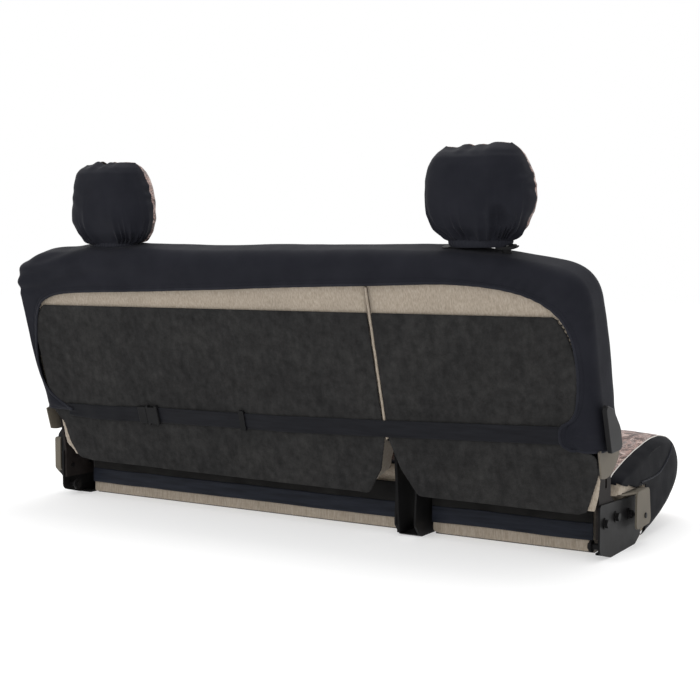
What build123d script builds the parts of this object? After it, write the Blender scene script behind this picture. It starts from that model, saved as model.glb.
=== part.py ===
"""Split bench seat for a truck or SUV, wearing a fitted seat cover set.

The bench has two folding backrest halves (two thirds and one third) on steel side and centre
brackets, two cushions and two headrests.  The cover set is one stretch cover over both backrest
halves with a rear strap and buckle, two cushion covers and two gathered headrest covers.

Millimetres, +Z up.  The seat faces -Y, its left is +X.  The origin is at the centre of the base.
"""

import os
from math import cos, radians, sin

from build123d import *

os.makedirs("parts", exist_ok=True)

LEFT, RIGHT = 1, -1
SIDES = {"left": LEFT, "right": RIGHT}

# ---------------------------------------------------------------- backrest, driving dimensions
BACK_LEAN = 15.8  # degrees from vertical
BACK_FOOT_Y = 209  # rear lower edge of the backrest
BACK_FOOT_Z = 98
BACK_HALF = 695.4  # half the width of both halves together
BACK_HEIGHT = 498  # along the lean
BACK_DEPTH = 104
BACK_NARROW_HALF = 662  # half width beside the recliner arms
BACK_NARROW_TOP = 250
SHOULDERS = {  # where the side starts to round over, its middle, and where the top is reached
    "left": [(BACK_HALF, 428), (664, 482), (520, BACK_HEIGHT)],
    "right": [(BACK_HALF, 415), (646, 464), (430, BACK_HEIGHT)],
}
SHOULDER_RADII = {"left": [50, 72, 400], "right": [80, 90, 500]}
SPLIT_X = -242
SPLIT_GAP = 4
SPLIT_APEX = 150  # height at which the lower inner corners start to cut away
SPLIT_CUT = 56
CARPET = 4
SKIN = 3
FLAP_THICK = 4
EDGE_RADIUS_REAR = 26
EDGE_RADIUS_FRONT = 38

# ---------------------------------------------------------------- recliner and frames
HINGE_S = 112  # hinge axis: height along the backrest, and distance in front of its rear face
HINGE_N = 62
RUNNING = 0.05  # radial clearance of running fits
PIN_RADIUS = 8
CENTRE_PIN_RADIUS = 6
LOWER_ARM_X = 674  # inner face
UPPER_ARM_X = 664
ARM_THICK = 6
FRAME_TUBE = 11
FRAME_N = 52
FRAME_SIDE_X = 646
FRAME_INNER = 37  # frame tube centre from the split
FRAME_LOW = 42
FRAME_HIGH = 440

# ---------------------------------------------------------------- base
BRACKET_X = 680  # inner face of the side bracket plates
PLATE = 4
BRACKET_FRONT = -30
BRACKET_REAR = 200
BRACKET_HEIGHT = 110
CENTRE_CHANNEL = (-285, -235)
CENTRE_ARM = (-245, -239)
BOLT_SPOTS = [(175, 72), (115, 75), (40, 68)]
BOLT_RADIUS = 5
FLOOR_HOLE_X = 666  # floor bolt holes in the feet of the side brackets
FLOOR_HOLES_Y = [5, 125]
FLOOR_HOLE_RADIUS = 5.5
FOOT_LENGTH = 144
BAR_REAR_Y = 130
CUSHION_INNER = {"left": -225, "right": -292}
CUSHION_LOW_HALF = 646
CUSHION_HALF = 686
CUSHION_FRONT = -378.6
CUSHION_CORNER = 110
POCKET_TOP = 116
POCKET_FRONT = -42

# ---------------------------------------------------------------- cover set
COVER = 3.4
COVER_GAP = 0.6
COVER_SIDE_LOW = 126
STRAP_WIDTH = 36
HEM_THICK = 1.5
STRAP_N = (-3.6, -1.6)
BUCKLE_X = (340, 396)
SLIDER_X = 108

# ---------------------------------------------------------------- headrests
HEAD_X = {"left": 423, "right": -475}
HEAD_WIDTH = 204
HEAD_HEIGHT = 176
HEAD_DEPTH = 104
HEAD_LEAN = 5
HEAD_LOW_Z = 606
HEAD_Y = 289.6
HEAD_SKIN = 2
POST_SPREAD = 55
POST_RADIUS = 6
POST_DOWN = 150
SLEEVE_RADIUS = 9
SLEEVE_LENGTH = 95
BUTTON_TRAVEL = 3

LEAN_SIN, LEAN_COS = sin(radians(BACK_LEAN)), cos(radians(BACK_LEAN))
BACK = Plane(
    origin=(0, BACK_FOOT_Y, BACK_FOOT_Z),
    x_dir=(1, 0, 0),
    z_dir=(0, -LEAN_COS, LEAN_SIN),
)
HINGE = BACK.from_local_coords((0, HINGE_S, HINGE_N))
LEFT_EDGE = SPLIT_X + SPLIT_GAP / 2
RIGHT_EDGE = SPLIT_X - SPLIT_GAP / 2


def save(part, name):
    """Labels a finished sub-part and writes it as one STEP file."""
    part.label = name
    export_step(part, f"parts/{name}.step")


def side_plane(x):
    """Sketch plane across the seat at x; its own axes are Y and Z."""
    return Plane.YZ.offset(x)


def across(side, inner, thick):
    """The lower x of a plate whose inner face is at `inner` on one side of the seat."""
    return inner if side == LEFT else -inner - thick


# ================================================================ backrest halves
def inset_shoulder(name, inset):
    """Corners of one shoulder, from the side to the top, moved in by inset."""
    turn, middle, top = SHOULDERS[name]
    moved = [(turn[0] - inset, turn[1]), (middle[0] - inset, middle[1] - inset), (top[0], top[1] - inset)]
    return [(SIDES[name] * x, s) for x, s in moved]


def whole_back(inset, low):
    """Both backrest halves as one rounded block, every face moved in by inset."""
    left_foot, right_foot = [(side * (BACK_HALF - inset), low) for side in (LEFT, RIGHT)]
    left_turn, left_middle, left_top = inset_shoulder("left", inset)
    right_turn, right_middle, right_top = inset_shoulder("right", inset)
    outline = [
        left_foot, left_turn, left_middle, left_top, right_top, right_middle, right_turn, right_foot,
    ]
    radii = [0, *SHOULDER_RADII["left"], *reversed(SHOULDER_RADII["right"]), 0]
    with BuildPart() as block:
        with BuildSketch(BACK.offset(CARPET + inset)):
            with BuildLine():
                FilletPolyline(*outline, radius=radii, close=True)
            make_face()
        extrude(amount=BACK_DEPTH - CARPET - 2 * inset)
        caps = block.faces().sort_by(Axis((0, 0, 0), (0, -LEAN_COS, LEAN_SIN)))
        for cap, radius in ((caps[0], EDGE_RADIUS_REAR), (caps[-1], EDGE_RADIUS_FRONT)):
            rim = [e for e in cap.edges() if BACK.to_local_coords(e.center()).Y > low + 1]
            fillet(rim, radius=radius - inset)
    return block.part


def half_outline(side, inset, low):
    """Region that one backrest half fills: split edge, lower corner cuts and narrow foot."""
    inner = (LEFT_EDGE if side == LEFT else RIGHT_EDGE) + side * inset
    foot = inner + side * SPLIT_CUT
    wide = side * (BACK_HALF + 20)
    narrow = side * (BACK_NARROW_HALF - inset)
    return [
        (inner, SPLIT_APEX),
        (inner, BACK_HEIGHT + 20),
        (wide, BACK_HEIGHT + 20),
        (wide, BACK_NARROW_TOP + inset),
        (narrow, BACK_NARROW_TOP + inset),
        (narrow, low + 26),
        (narrow - side * 26, low),
        (foot, low),
    ]


def half_block(side, inset):
    """One backrest half as a solid."""
    with BuildPart() as half:
        with BuildSketch(BACK.offset(-20)):
            with BuildLine():
                Polyline(*half_outline(side, inset, inset), close=True)
            make_face()
        extrude(amount=BACK_DEPTH + 40)
        add(whole_back(inset, inset), mode=Mode.INTERSECT)
    return half.part


def frame_loop(side):
    """Welded steel tube loop of one backrest half, with a cross tube."""
    inner = SPLIT_X + side * FRAME_INNER
    outer = side * FRAME_SIDE_X
    plane = BACK.offset(FRAME_N)
    corners = [
        (inner, SPLIT_APEX + 10), (inner + side * 35, FRAME_LOW), (outer, FRAME_LOW),
        (outer, FRAME_HIGH), (inner, FRAME_HIGH),
    ]
    mid_s = (FRAME_LOW + FRAME_HIGH) / 2
    with BuildPart() as frame:
        with BuildLine(plane) as path:
            FilletPolyline(*corners, radius=40, close=True)
        with BuildSketch(Plane(origin=path.line @ 0, z_dir=path.line % 0)):
            Circle(FRAME_TUBE)
        sweep()
        with BuildSketch(Plane(origin=plane.from_local_coords((inner, mid_s, 0)), z_dir=(side, 0, 0))):
            Circle(FRAME_TUBE - 2)
        extrude(amount=abs(outer - inner))
    return frame.part


def hinge_disc(x, length, radius):
    """Cylinder on the hinge axis from x, as long as length says and to its side."""
    with BuildPart() as disc:
        with BuildSketch(side_plane(x)):
            with Locations((HINGE.Y, HINGE.Z)):
                Circle(radius)
        extrude(amount=length)
    return disc.part


def pivot_body(side):
    """Boss and flange at the inner end of one half, before the pin hole."""
    near = SPLIT_X + side * 6
    return hinge_disc(near, side * 17, 14) + hinge_disc(near + side * 17, side * 2.5, 26)


def inner_pivot(side):
    """Boss and flange that carry one half on the centre pin."""
    return pivot_body(side) - hinge_disc(SPLIT_X + side * 6, side * 15, CENTRE_PIN_RADIUS + RUNNING)


def upper_arm(side):
    """Recliner arm that moves with the backrest, with its two frame bolts."""
    start = across(side, UPPER_ARM_X, ARM_THICK)
    top_centre = BACK.from_local_coords((0, 235, FRAME_N))
    bolts = [BACK.from_local_coords((0, s, FRAME_N)) for s in (190, 232)]
    with BuildPart() as arm:
        with BuildSketch(side_plane(start)):
            with Locations((HINGE.Y, HINGE.Z)):
                Circle(30)
            with Locations((top_centre.Y, top_centre.Z)):
                Circle(17)
            make_hull()
            with Locations((HINGE.Y, HINGE.Z)):
                Circle(PIN_RADIUS + RUNNING, mode=Mode.SUBTRACT)
        extrude(amount=ARM_THICK)
        with BuildSketch(side_plane(side * (FRAME_SIDE_X + FRAME_TUBE - 1))):
            with Locations(*[(b.Y, b.Z) for b in bolts]):
                Circle(6)
        extrude(amount=side * (UPPER_ARM_X - FRAME_SIDE_X - FRAME_TUBE + 2))
        with BuildSketch(side_plane(side * (UPPER_ARM_X + ARM_THICK))):
            with Locations(*[(b.Y, b.Z) for b in bolts]):
                RegularPolygon(9, 6)
        extrude(amount=side * 5)
        add(frame_loop(side), mode=Mode.SUBTRACT)
    return arm.part


def sleeve_places(name):
    return [HEAD_X[name] - POST_SPREAD, HEAD_X[name] + POST_SPREAD]


def post_axis(x, s):
    """Plane across a headrest post at height s along the backrest."""
    return Plane(
        origin=BACK.from_local_coords((x, s, FRAME_N)),
        x_dir=(1, 0, 0),
        z_dir=(0, LEAN_SIN, LEAN_COS),
    )


SLEEVE_FOOT = BACK_HEIGHT - SLEEVE_LENGTH
SLEEVE_HEAD = BACK_HEIGHT + 1
SLEEVE_CAP = (40, 22, 5)  # along x, y and the sleeve
BUTTON_SIZE = (7, 12, 3)


def guide_sleeves(name):
    """Two plastic guide sleeves; the outer one carries the height lock button."""
    with BuildPart() as sleeves:
        for x in sleeve_places(name):
            with BuildSketch(post_axis(x, SLEEVE_FOOT)):
                Circle(SLEEVE_RADIUS)
            extrude(amount=SLEEVE_HEAD - SLEEVE_FOOT)
            with BuildSketch(post_axis(x, SLEEVE_HEAD)):
                RectangleRounded(SLEEVE_CAP[0], SLEEVE_CAP[1], 8)
            extrude(amount=SLEEVE_CAP[2])
            with BuildSketch(post_axis(x, SLEEVE_FOOT)):
                Circle(POST_RADIUS + RUNNING)
            extrude(amount=SLEEVE_LENGTH + 40, mode=Mode.SUBTRACT)
        lock_x = button_x(name)
        with BuildSketch(post_axis(lock_x, SLEEVE_HEAD + 0.8)):
            Rectangle(BUTTON_SIZE[0] + 9, BUTTON_SIZE[1] + 0.6)
        extrude(amount=BUTTON_SIZE[2] + 0.4, mode=Mode.SUBTRACT)
    return sleeves.part


def button_x(name):
    """Rest place of the lock button, at the outboard end of the outboard sleeve head."""
    return HEAD_X[name] + SIDES[name] * (POST_SPREAD + 20)


def guide_button(name):
    """Push button that frees the notched post."""
    with BuildPart() as button:
        with BuildSketch(post_axis(button_x(name), SLEEVE_HEAD + 1)):
            Rectangle(BUTTON_SIZE[0], BUTTON_SIZE[1])
        extrude(amount=BUTTON_SIZE[2])
        fillet(button.edges().filter_by(Axis.X), radius=1)
    return button.part


def post_cavities(name):
    """Clearance that the sleeves and the lowered posts need inside foam and skin."""
    with BuildPart() as cavity:
        for x in sleeve_places(name):
            with BuildSketch(post_axis(x, SLEEVE_FOOT)):
                Circle(SLEEVE_RADIUS)
            extrude(amount=SLEEVE_LENGTH + 40)
            with BuildSketch(post_axis(x, SLEEVE_HEAD - 8)):
                RectangleRounded(SLEEVE_CAP[0] + 10, SLEEVE_CAP[1] + 2, 8)
            extrude(amount=30)
            with BuildSketch(post_axis(x, BACK_HEIGHT - POST_DOWN - 12)):
                Circle(POST_RADIUS + 1.5)
            extrude(amount=POST_DOWN)
    return cavity.part


def backrest_half(name):
    """Frame, foam, skin, carpet, hinge plates and sleeves of one backrest half."""
    side = SIDES[name]
    frame = frame_loop(side)
    arm = upper_arm(side)
    pivot = pivot_body(side)
    cavity = post_cavities(name)
    outer = half_block(side, 0)
    core = half_block(side, SKIN)

    with BuildPart() as tube:
        add(frame)
        add(cavity, mode=Mode.SUBTRACT)
    save(tube.part, f"back_frame_{name}")

    with BuildPart() as foam:
        add(core)
        for inside in (frame, arm, pivot, cavity):
            add(inside, mode=Mode.SUBTRACT)
    save(foam.part, f"back_foam_{name}")

    with BuildPart() as skin:
        add(outer)
        add(core, mode=Mode.SUBTRACT)
        for inside in (arm, pivot, cavity):
            add(inside, mode=Mode.SUBTRACT)
        if side == RIGHT:
            add(foot_flap())
            add(core, mode=Mode.SUBTRACT)
    save(skin.part, f"back_upholstery_{name}")

    with BuildPart() as plates:
        add(arm)
        add(inner_pivot(side))
    save(plates.part, f"back_hinge_plates_{name}")

    save(guide_sleeves(name), f"guide_sleeves_{name}")
    save(guide_button(name), f"guide_button_{name}")


CARPET_TOP = 383
CARPETS = {
    "left": [
        (LEFT_EDGE, 113), (LEFT_EDGE, CARPET_TOP), (671, CARPET_TOP), (671, 126),
        (644, 90), (638, 41), (620, 3), (584, -4), (-184, -11), (-222, 46),
    ],
    "right": [
        (RIGHT_EDGE - 5, 113), (RIGHT_EDGE - 5, CARPET_TOP), (-671, CARPET_TOP), (-671, 124),
        (-689, 112), (-689, 72), (-680, 48), (-660, -3), (-642, -9), (-300, -6), (-268, 50),
    ],
}
CARPET_RADII = {
    "left": [6, 0, 20, 20, 20, 30, 20, 60, 12, 12],
    "right": [6, 0, 20, 4, 10, 8, 60, 8, 12, 12, 12],
}


def back_carpet(name, wrap):
    """Carpeted board on the rear of one half, trimmed to what the cover leaves."""
    with BuildPart() as board:
        with BuildSketch(BACK):
            with BuildLine():
                FilletPolyline(*CARPETS[name], radius=CARPET_RADII[name], close=True)
            make_face()
        extrude(amount=CARPET)
        add(wrap, mode=Mode.SUBTRACT)
    return board.part


TRIM_BELLY = [(70, 2), (59, 58), (80, 103)]  # lower edge: height and depth, rear to front
TRIM_STEP = 122  # the trim is full depth below this height, and under the cover above it
TRIM_DEEP = (2, 103)
TRIM_UNDER = (12, 92)
LEVER_HUB = 9
LEVER_IN = 688
LEVER_OUT = (708, 716)
LEVER_BLADES = {  # height and depth of the corners, from the foot round the rear to the front
    "left": [(92, 92), (96, 50), (186, 54), (204, 78), (150, 98)],
    "right": [(102, 72), (118, 10), (221, 2), (196, 42), (148, 70)],
}
LEVER_RADII = [12, 12, 10, 10, 40]


def side_points(pairs):
    """Y and Z of places given by their height and depth on the backrest."""
    places = [BACK.from_local_coords((0, s, n)) for s, n in pairs]
    return [(p.Y, p.Z) for p in places]


def trim_excess(side):
    """What the cover leaves no room for beside one half, above the full depth trim."""
    height = BACK_HEIGHT - TRIM_STEP
    with BuildPart() as excess:
        with BuildSketch(BACK.offset(-20)):
            with Locations((side * BACK_HALF, TRIM_STEP + height / 2)):
                Rectangle(60, height)
        extrude(amount=BACK_DEPTH + 40)
        add(whole_back(0, 0), mode=Mode.SUBTRACT)
    return excess.part


def side_trim(side):
    """Beige outboard shield of the recliner, with a curved lower edge."""
    start = across(side, BACK_HALF - SKIN, SKIN)
    top = BACK_NARROW_TOP - 1
    belly = side_points(TRIM_BELLY)
    rest = side_points([
        (TRIM_STEP, TRIM_DEEP[1]), (TRIM_STEP, TRIM_UNDER[1]), (top, TRIM_UNDER[1]),
        (top, TRIM_UNDER[0]), (TRIM_STEP, TRIM_UNDER[0]), (TRIM_STEP, TRIM_DEEP[0]),
    ])
    with BuildPart() as trim:
        with BuildSketch(side_plane(start)):
            with BuildLine():
                ThreePointArc(*belly)
                Polyline(belly[-1], *rest, belly[0])
            make_face()
            with Locations((HINGE.Y, HINGE.Z)):
                Circle(LEVER_HUB + 0.4, mode=Mode.SUBTRACT)
        extrude(amount=SKIN)
        add(trim_excess(side), mode=Mode.SUBTRACT)
    return trim.part


def foot_flap():
    """Edge of the right half's seat cloth beside the foot of its carpet."""
    outline = [(-640, 0), (-674, -1), (-689, 60), (-689, 74), (-640, 74)]
    with BuildPart() as flap:
        with BuildSketch(BACK.offset(CARPET)):
            with BuildLine():
                FilletPolyline(*outline, radius=[0, 10, 30, 0, 0], close=True)
            make_face()
        extrude(amount=FLAP_THICK)
    return flap.part


def recliner_lever(name):
    """Paddle that frees the recliner: a hub on the hinge axis and a slanted blade."""
    side = SIDES[name]
    with BuildPart() as lever:
        with BuildSketch(side_plane(side * LEVER_OUT[0])):
            with BuildLine():
                FilletPolyline(*side_points(LEVER_BLADES[name]), radius=LEVER_RADII, close=True)
            make_face()
        extrude(amount=side * (LEVER_OUT[1] - LEVER_OUT[0]))
        outer_face = lever.faces().sort_by(Axis.X)[-1 if side == LEFT else 0]
        fillet(outer_face.edges(), radius=3)
        with BuildSketch(side_plane(side * LEVER_IN)):
            with Locations((HINGE.Y, HINGE.Z)):
                Circle(LEVER_HUB)
        extrude(amount=side * (LEVER_OUT[0] - LEVER_IN + 1))
    return lever.part


def split_piping():
    """Sewn piping along the split edge of the right half."""
    radius, low, high = 2.2, 118, 434
    foot = BACK.from_local_coords((RIGHT_EDGE - 2.4, low, 0.9))
    with BuildPart() as piping:
        with BuildSketch(Plane(origin=foot, z_dir=(0, LEAN_SIN, LEAN_COS))):
            Circle(radius)
        extrude(amount=high - low)
    return piping.part


# ================================================================ backrest cover
OPENING = [
    (594, 40), (600, 112), (668, 162), (682, 255), (654, 378), (560, 415), (161, 428),
    (-385, 446), (-560, 436), (-653, 372), (-668, 275), (-655, 195), (-626, 158), (-626, 40),
]
OPENING_RADII = [0, 30, 60, 120, 110, 160, 800, 700, 150, 130, 150, 50, 20, 0]


def cover_opening(grow, depth):
    """Rear opening of the cover as a cutter that reaches in by depth."""
    with BuildPart() as hole:
        with BuildSketch(BACK.offset(-20)):
            with BuildLine():
                FilletPolyline(*OPENING, radius=OPENING_RADII, close=True)
            make_face()
            if grow:
                offset(amount=grow, kind=Kind.ARC)
        extrude(amount=20 + depth)
    return hole.part


def front_zone():
    """Region of the printed front panel of the backrest cover."""
    with BuildPart() as zone:
        with BuildSketch(BACK.offset(BACK_DEPTH - 6)):
            with BuildLine():
                FilletPolyline((-640, 0), (-640, 440), (640, 440), (640, 0), radius=[0, 60, 60, 0],
                               close=True)
            make_face()
        extrude(amount=40)
    return zone.part


def cover_slits():
    """Lower corners cut from the cover so that it clears the recliner and centre arms."""
    with BuildPart() as slits:
        with BuildSketch(BACK.offset(40)):
            for x in (-694, 694):
                with Locations((x, 80)):
                    Rectangle(60, 156)
            with Locations((SPLIT_X, 80)):
                Rectangle(44, 156)
        extrude(amount=100)
    return slits.part


def cover_shell():
    """The whole backrest cover before it is divided into panels."""
    low = 22
    with BuildPart() as shell:
        add(whole_back(-COVER - COVER_GAP, low))
        add(whole_back(-COVER_GAP, low - 1), mode=Mode.SUBTRACT)
        add(cover_slits(), mode=Mode.SUBTRACT)
        with BuildSketch(BACK.offset(-40)):
            with Locations((0, low + (COVER_SIDE_LOW - low) / 2 - 20)):
                Rectangle(2 * BACK_HALF + 60, COVER_SIDE_LOW - low + 40)
        extrude(amount=40 + BACK_DEPTH - EDGE_RADIUS_FRONT, mode=Mode.SUBTRACT)
        for name in SIDES:
            add(post_cavities(name), mode=Mode.SUBTRACT)
    return shell.part


def backrest_cover():
    """Front panel, black wrap and elastic hem of the backrest cover; returns the wrap."""
    shell = cover_shell()
    zone = front_zone()
    with BuildPart() as front:
        add(shell)
        add(zone, mode=Mode.INTERSECT)
    save(front.part, "back_cover_front")
    with BuildPart() as wrap:
        add(shell)
        add(zone, mode=Mode.SUBTRACT)
        add(cover_opening(0, CARPET + EDGE_RADIUS_REAR), mode=Mode.SUBTRACT)
    save(wrap.part, "back_cover_wrap")
    with BuildPart() as hem:
        with BuildSketch(BACK.offset(-HEM_THICK)):
            with BuildLine():
                FilletPolyline(*OPENING, radius=OPENING_RADII, close=True)
            make_face()
            offset(amount=-5, kind=Kind.ARC, mode=Mode.SUBTRACT)
            with Locations((0, 60)):
                Rectangle(1500, 90, mode=Mode.SUBTRACT)
        extrude(amount=HEM_THICK)
    save(hem.part, "back_cover_hem")
    return wrap.part


def strap_s(x):
    """Height of the rear strap's centreline at x."""
    left_s, middle_s, right_s = 126, 134, 153
    if x > 0:
        return middle_s + (left_s - middle_s) * x / 600
    return middle_s + (right_s - middle_s) * -x / 625


def strap_run(x_from, x_to):
    """Flat webbing between two places along the rear strap."""
    half = STRAP_WIDTH / 2
    stations = [x_from] + [x for x in (0,) if x_to < x < x_from] + [x_to]
    upper = [(x, strap_s(x) + half) for x in stations]
    lower = [(x, strap_s(x) - half) for x in reversed(stations)]
    with BuildPart() as run:
        with BuildSketch(BACK.offset(STRAP_N[0])):
            with BuildLine():
                Polyline(*upper, *lower, close=True)
            make_face()
        extrude(amount=STRAP_N[1] - STRAP_N[0])
    return run.part


def buckle_half(x_from, x_to, height, prongs):
    """One half of the side release buckle; the prongs show in the side windows."""
    centre = (x_from + x_to) / 2
    with BuildPart() as half:
        with BuildSketch(BACK.offset(-9.4)):
            with Locations((centre, strap_s(centre))):
                RectangleRounded(abs(x_to - x_from), height, 4)
        extrude(amount=9)
        fillet(half.faces().sort_by(Axis.Y)[-1].edges(), radius=2)
        if prongs:
            with BuildSketch(BACK.offset(-12)):
                for rise in (-1, 1):
                    with Locations((centre, strap_s(centre) + rise * height / 2)):
                        Rectangle(18, 7)
            extrude(amount=14, mode=Mode.SUBTRACT)
    return half.part


def strap_slider():
    """Slider that shortens the strap: a frame with a window for the webbing."""
    with BuildPart() as slider:
        with BuildSketch(BACK.offset(-6)):
            with Locations((SLIDER_X, strap_s(SLIDER_X))):
                RectangleRounded(14, STRAP_WIDTH + 10, 3)
        extrude(amount=5.7)
        with BuildSketch(BACK.offset(STRAP_N[0] - 0.5)):
            with Locations((SLIDER_X, strap_s(SLIDER_X))):
                Rectangle(40, STRAP_WIDTH + 3)
        extrude(amount=STRAP_N[1] - STRAP_N[0] + 1, mode=Mode.SUBTRACT)
    return slider.part


def rear_strap():
    """Webbing, buckle and slider that close the cover across the rear."""
    split = BUCKLE_X[0] + 32
    save(strap_run(594, BUCKLE_X[1]), "strap_webbing_left")
    save(strap_run(BUCKLE_X[0], -620), "strap_webbing_right")
    save(buckle_half(split, BUCKLE_X[1], 40, False), "buckle_plug")
    save(buckle_half(BUCKLE_X[0], split, 46, True), "buckle_socket")
    save(strap_slider(), "strap_slider")


# ================================================================ headrests
def head_plane(name, n):
    """Plane across a headrest, n in front of its middle; its origin is at the bottom centre."""
    tilt = radians(HEAD_LEAN)
    front = Vector(0, -cos(tilt), sin(tilt))
    start = Vector(HEAD_X[name], HEAD_Y, HEAD_LOW_Z)
    return Plane(origin=start + front * n, x_dir=(1, 0, 0), z_dir=front)


def head_block(name, grow):
    """Rounded headrest body, every face moved out by grow."""
    half = HEAD_WIDTH / 2 + grow
    low, top = -grow, HEAD_HEIGHT + grow
    outline = [
        (26 - half, low), (half - 26, low), (half, 76), (half - 14, top), (14 - half, top), (-half, 76),
    ]
    with BuildPart() as block:
        with BuildSketch(head_plane(name, -HEAD_DEPTH / 2 - grow)):
            with BuildLine():
                FilletPolyline(*outline, radius=[26, 26, 60, 46, 46, 60], close=True)
            make_face()
        extrude(amount=HEAD_DEPTH + 2 * grow)
        caps = block.faces().sort_by(Axis.Y)
        fillet(caps[0].edges() + caps[-1].edges(), radius=22)
    return block.part


def head_posts(name):
    """Two steel posts joined by a bar inside the foam."""
    rise = 70
    low = BACK_HEIGHT - POST_DOWN
    top = BACK_HEIGHT + 18 + rise
    left_x, right_x = sleeve_places(name)
    corners = [(left_x, low), (left_x, top), (right_x, top), (right_x, low)]
    with BuildPart() as posts:
        with BuildLine(BACK.offset(FRAME_N)) as path:
            FilletPolyline(*corners, radius=[22, 22])
        with BuildSketch(post_axis(left_x, low)):
            Circle(POST_RADIUS)
        sweep()
    return posts.part


def elastic_oval(name, grow):
    """Outline of the gathered mouth of a headrest cover, as an upright prism."""
    with BuildPart() as oval:
        with BuildSketch(Plane.XY.offset(HEAD_LOW_Z - 30)):
            with Locations((HEAD_X[name], HEAD_Y - 2)):
                RectangleRounded(2 * POST_SPREAD + 34 + grow, 44 + grow, 20)
        extrude(amount=60)
    return oval.part


def headrest(name):
    """Foam, posts and the two panels and elastic of the gathered cover of one headrest."""
    posts = head_posts(name)
    body = head_block(name, 0)
    mouth = elastic_oval(name, 0)
    with BuildPart() as foam:
        add(body)
        add(posts, mode=Mode.SUBTRACT)
    save(foam.part, f"headrest_foam_{name}")
    save(posts, f"headrest_posts_{name}")

    with BuildPart() as skin:
        add(head_block(name, HEAD_SKIN))
        add(body, mode=Mode.SUBTRACT)
        add(mouth, mode=Mode.SUBTRACT)
    seam = head_plane(name, 12)
    front = split(skin.part, bisect_by=seam, keep=Keep.TOP)
    rear = split(skin.part, bisect_by=seam, keep=Keep.BOTTOM)
    save(front, f"headrest_cover_front_{name}")
    save(rear, f"headrest_cover_rear_{name}")

    with BuildPart() as elastic:
        with BuildSketch(Plane.XY.offset(HEAD_LOW_Z - 4.4)):
            with Locations((HEAD_X[name], HEAD_Y - 2)):
                RectangleRounded(2 * POST_SPREAD + 34, 44, 20)
                RectangleRounded(2 * POST_SPREAD + 26, 36, 16, mode=Mode.SUBTRACT)
        extrude(amount=4)
        add(body, mode=Mode.SUBTRACT)
    save(elastic.part, f"headrest_elastic_{name}")


# ================================================================ cushions
CUSHION_PROFILE = [
    (BAR_REAR_Y, 2), (BAR_REAR_Y, 104), (100, 122), (100, 150), (-150, 202), (-290, 196),
    (CUSHION_FRONT, 132), (-316, 96), (-70, 2),
]
CUSHION_RADII = [0, 3, 5, 14, 60, 60, 30, 18, 40]


def cushion_block(name, inset):
    """One cushion: side profile, plan with a round outboard corner, and rounded top edge."""
    side = SIDES[name]
    inner = CUSHION_INNER[name] + side * inset
    outer = side * (CUSHION_HALF - inset)
    front = CUSHION_FRONT - 20
    long_side = BAR_REAR_Y + 20
    with BuildPart() as block:
        with BuildSketch(side_plane(0)):
            with BuildLine():
                FilletPolyline(*CUSHION_PROFILE, radius=CUSHION_RADII, close=True)
            make_face()
            if inset:
                offset(amount=-inset, kind=Kind.INTERSECTION, mode=Mode.REPLACE)
        extrude(amount=800, both=True)
        plan = [(inner, long_side), (inner, CUSHION_FRONT + inset), (outer, CUSHION_FRONT + inset),
                (outer, long_side)]
        with BuildSketch(Plane.XY.offset(-10)):
            with BuildLine():
                FilletPolyline(*plan, radius=[0, 30, CUSHION_CORNER - inset, 0], close=True)
            make_face()
        extrude(amount=300, mode=Mode.INTERSECT)
        across_seat = [(inner, -10), (inner, 206 - inset), (outer, 206 - inset), (outer, -10)]
        with BuildSketch(Plane.XZ.offset(-long_side)):
            with BuildLine():
                FilletPolyline(*across_seat, radius=[0, 20, 34 - inset, 0], close=True)
            make_face()
        extrude(amount=long_side - front, mode=Mode.INTERSECT)
        with BuildSketch(side_plane(side * (CUSHION_LOW_HALF - inset))):
            with Locations(((POCKET_FRONT - inset + 200) / 2, (POCKET_TOP + inset) / 2 - 5)):
                Rectangle(200 - POCKET_FRONT + inset, POCKET_TOP + inset + 10)
        extrude(amount=side * 80, mode=Mode.SUBTRACT)
    return block.part


def pan(name):
    """Pressed steel tray under one cushion."""
    side = SIDES[name]
    inner = CUSHION_INNER[name] + side * SKIN
    length = side * (CUSHION_LOW_HALF - SKIN) - inner
    centre_x = inner + length / 2
    front, rear = -52, BAR_REAR_Y - SKIN - 8
    deep = rear - front
    with BuildPart() as tray:
        with BuildSketch():
            with Locations((centre_x, (front + rear) / 2)):
                Rectangle(abs(length), deep)
        extrude(amount=20)
        with BuildSketch(Plane.XY.offset(2)):
            with Locations((centre_x, (front + rear) / 2)):
                Rectangle(abs(length) - 4, deep - 4)
        extrude(amount=20, mode=Mode.SUBTRACT)
        with BuildSketch():
            with Locations((centre_x, (front + rear) / 2)):
                with GridLocations(abs(length) / 5, 70, 5, 2):
                    Circle(16)
        extrude(amount=2, mode=Mode.SUBTRACT)
    return tray.part


def cover_region(name):
    """Side profile above the hem of a cushion cover: high over the bracket, low in front."""
    hem = [(150, 126), (-44, 119), (-54, 8), (-420, 8), (-420, 280), (150, 280)]
    with BuildPart() as region:
        with BuildSketch(side_plane(-760)):
            with BuildLine():
                Polyline(*hem, close=True)
            make_face()
        extrude(amount=1520)
        with BuildSketch():
            side = SIDES[name]
            inner, outer = CUSHION_INNER[name] + side * 50, side * (CUSHION_HALF - 50)
            with Locations(((inner + outer) / 2, -150)):
                Rectangle(abs(outer - inner), 240)
        extrude(amount=90, mode=Mode.SUBTRACT)
    return region.part


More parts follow.
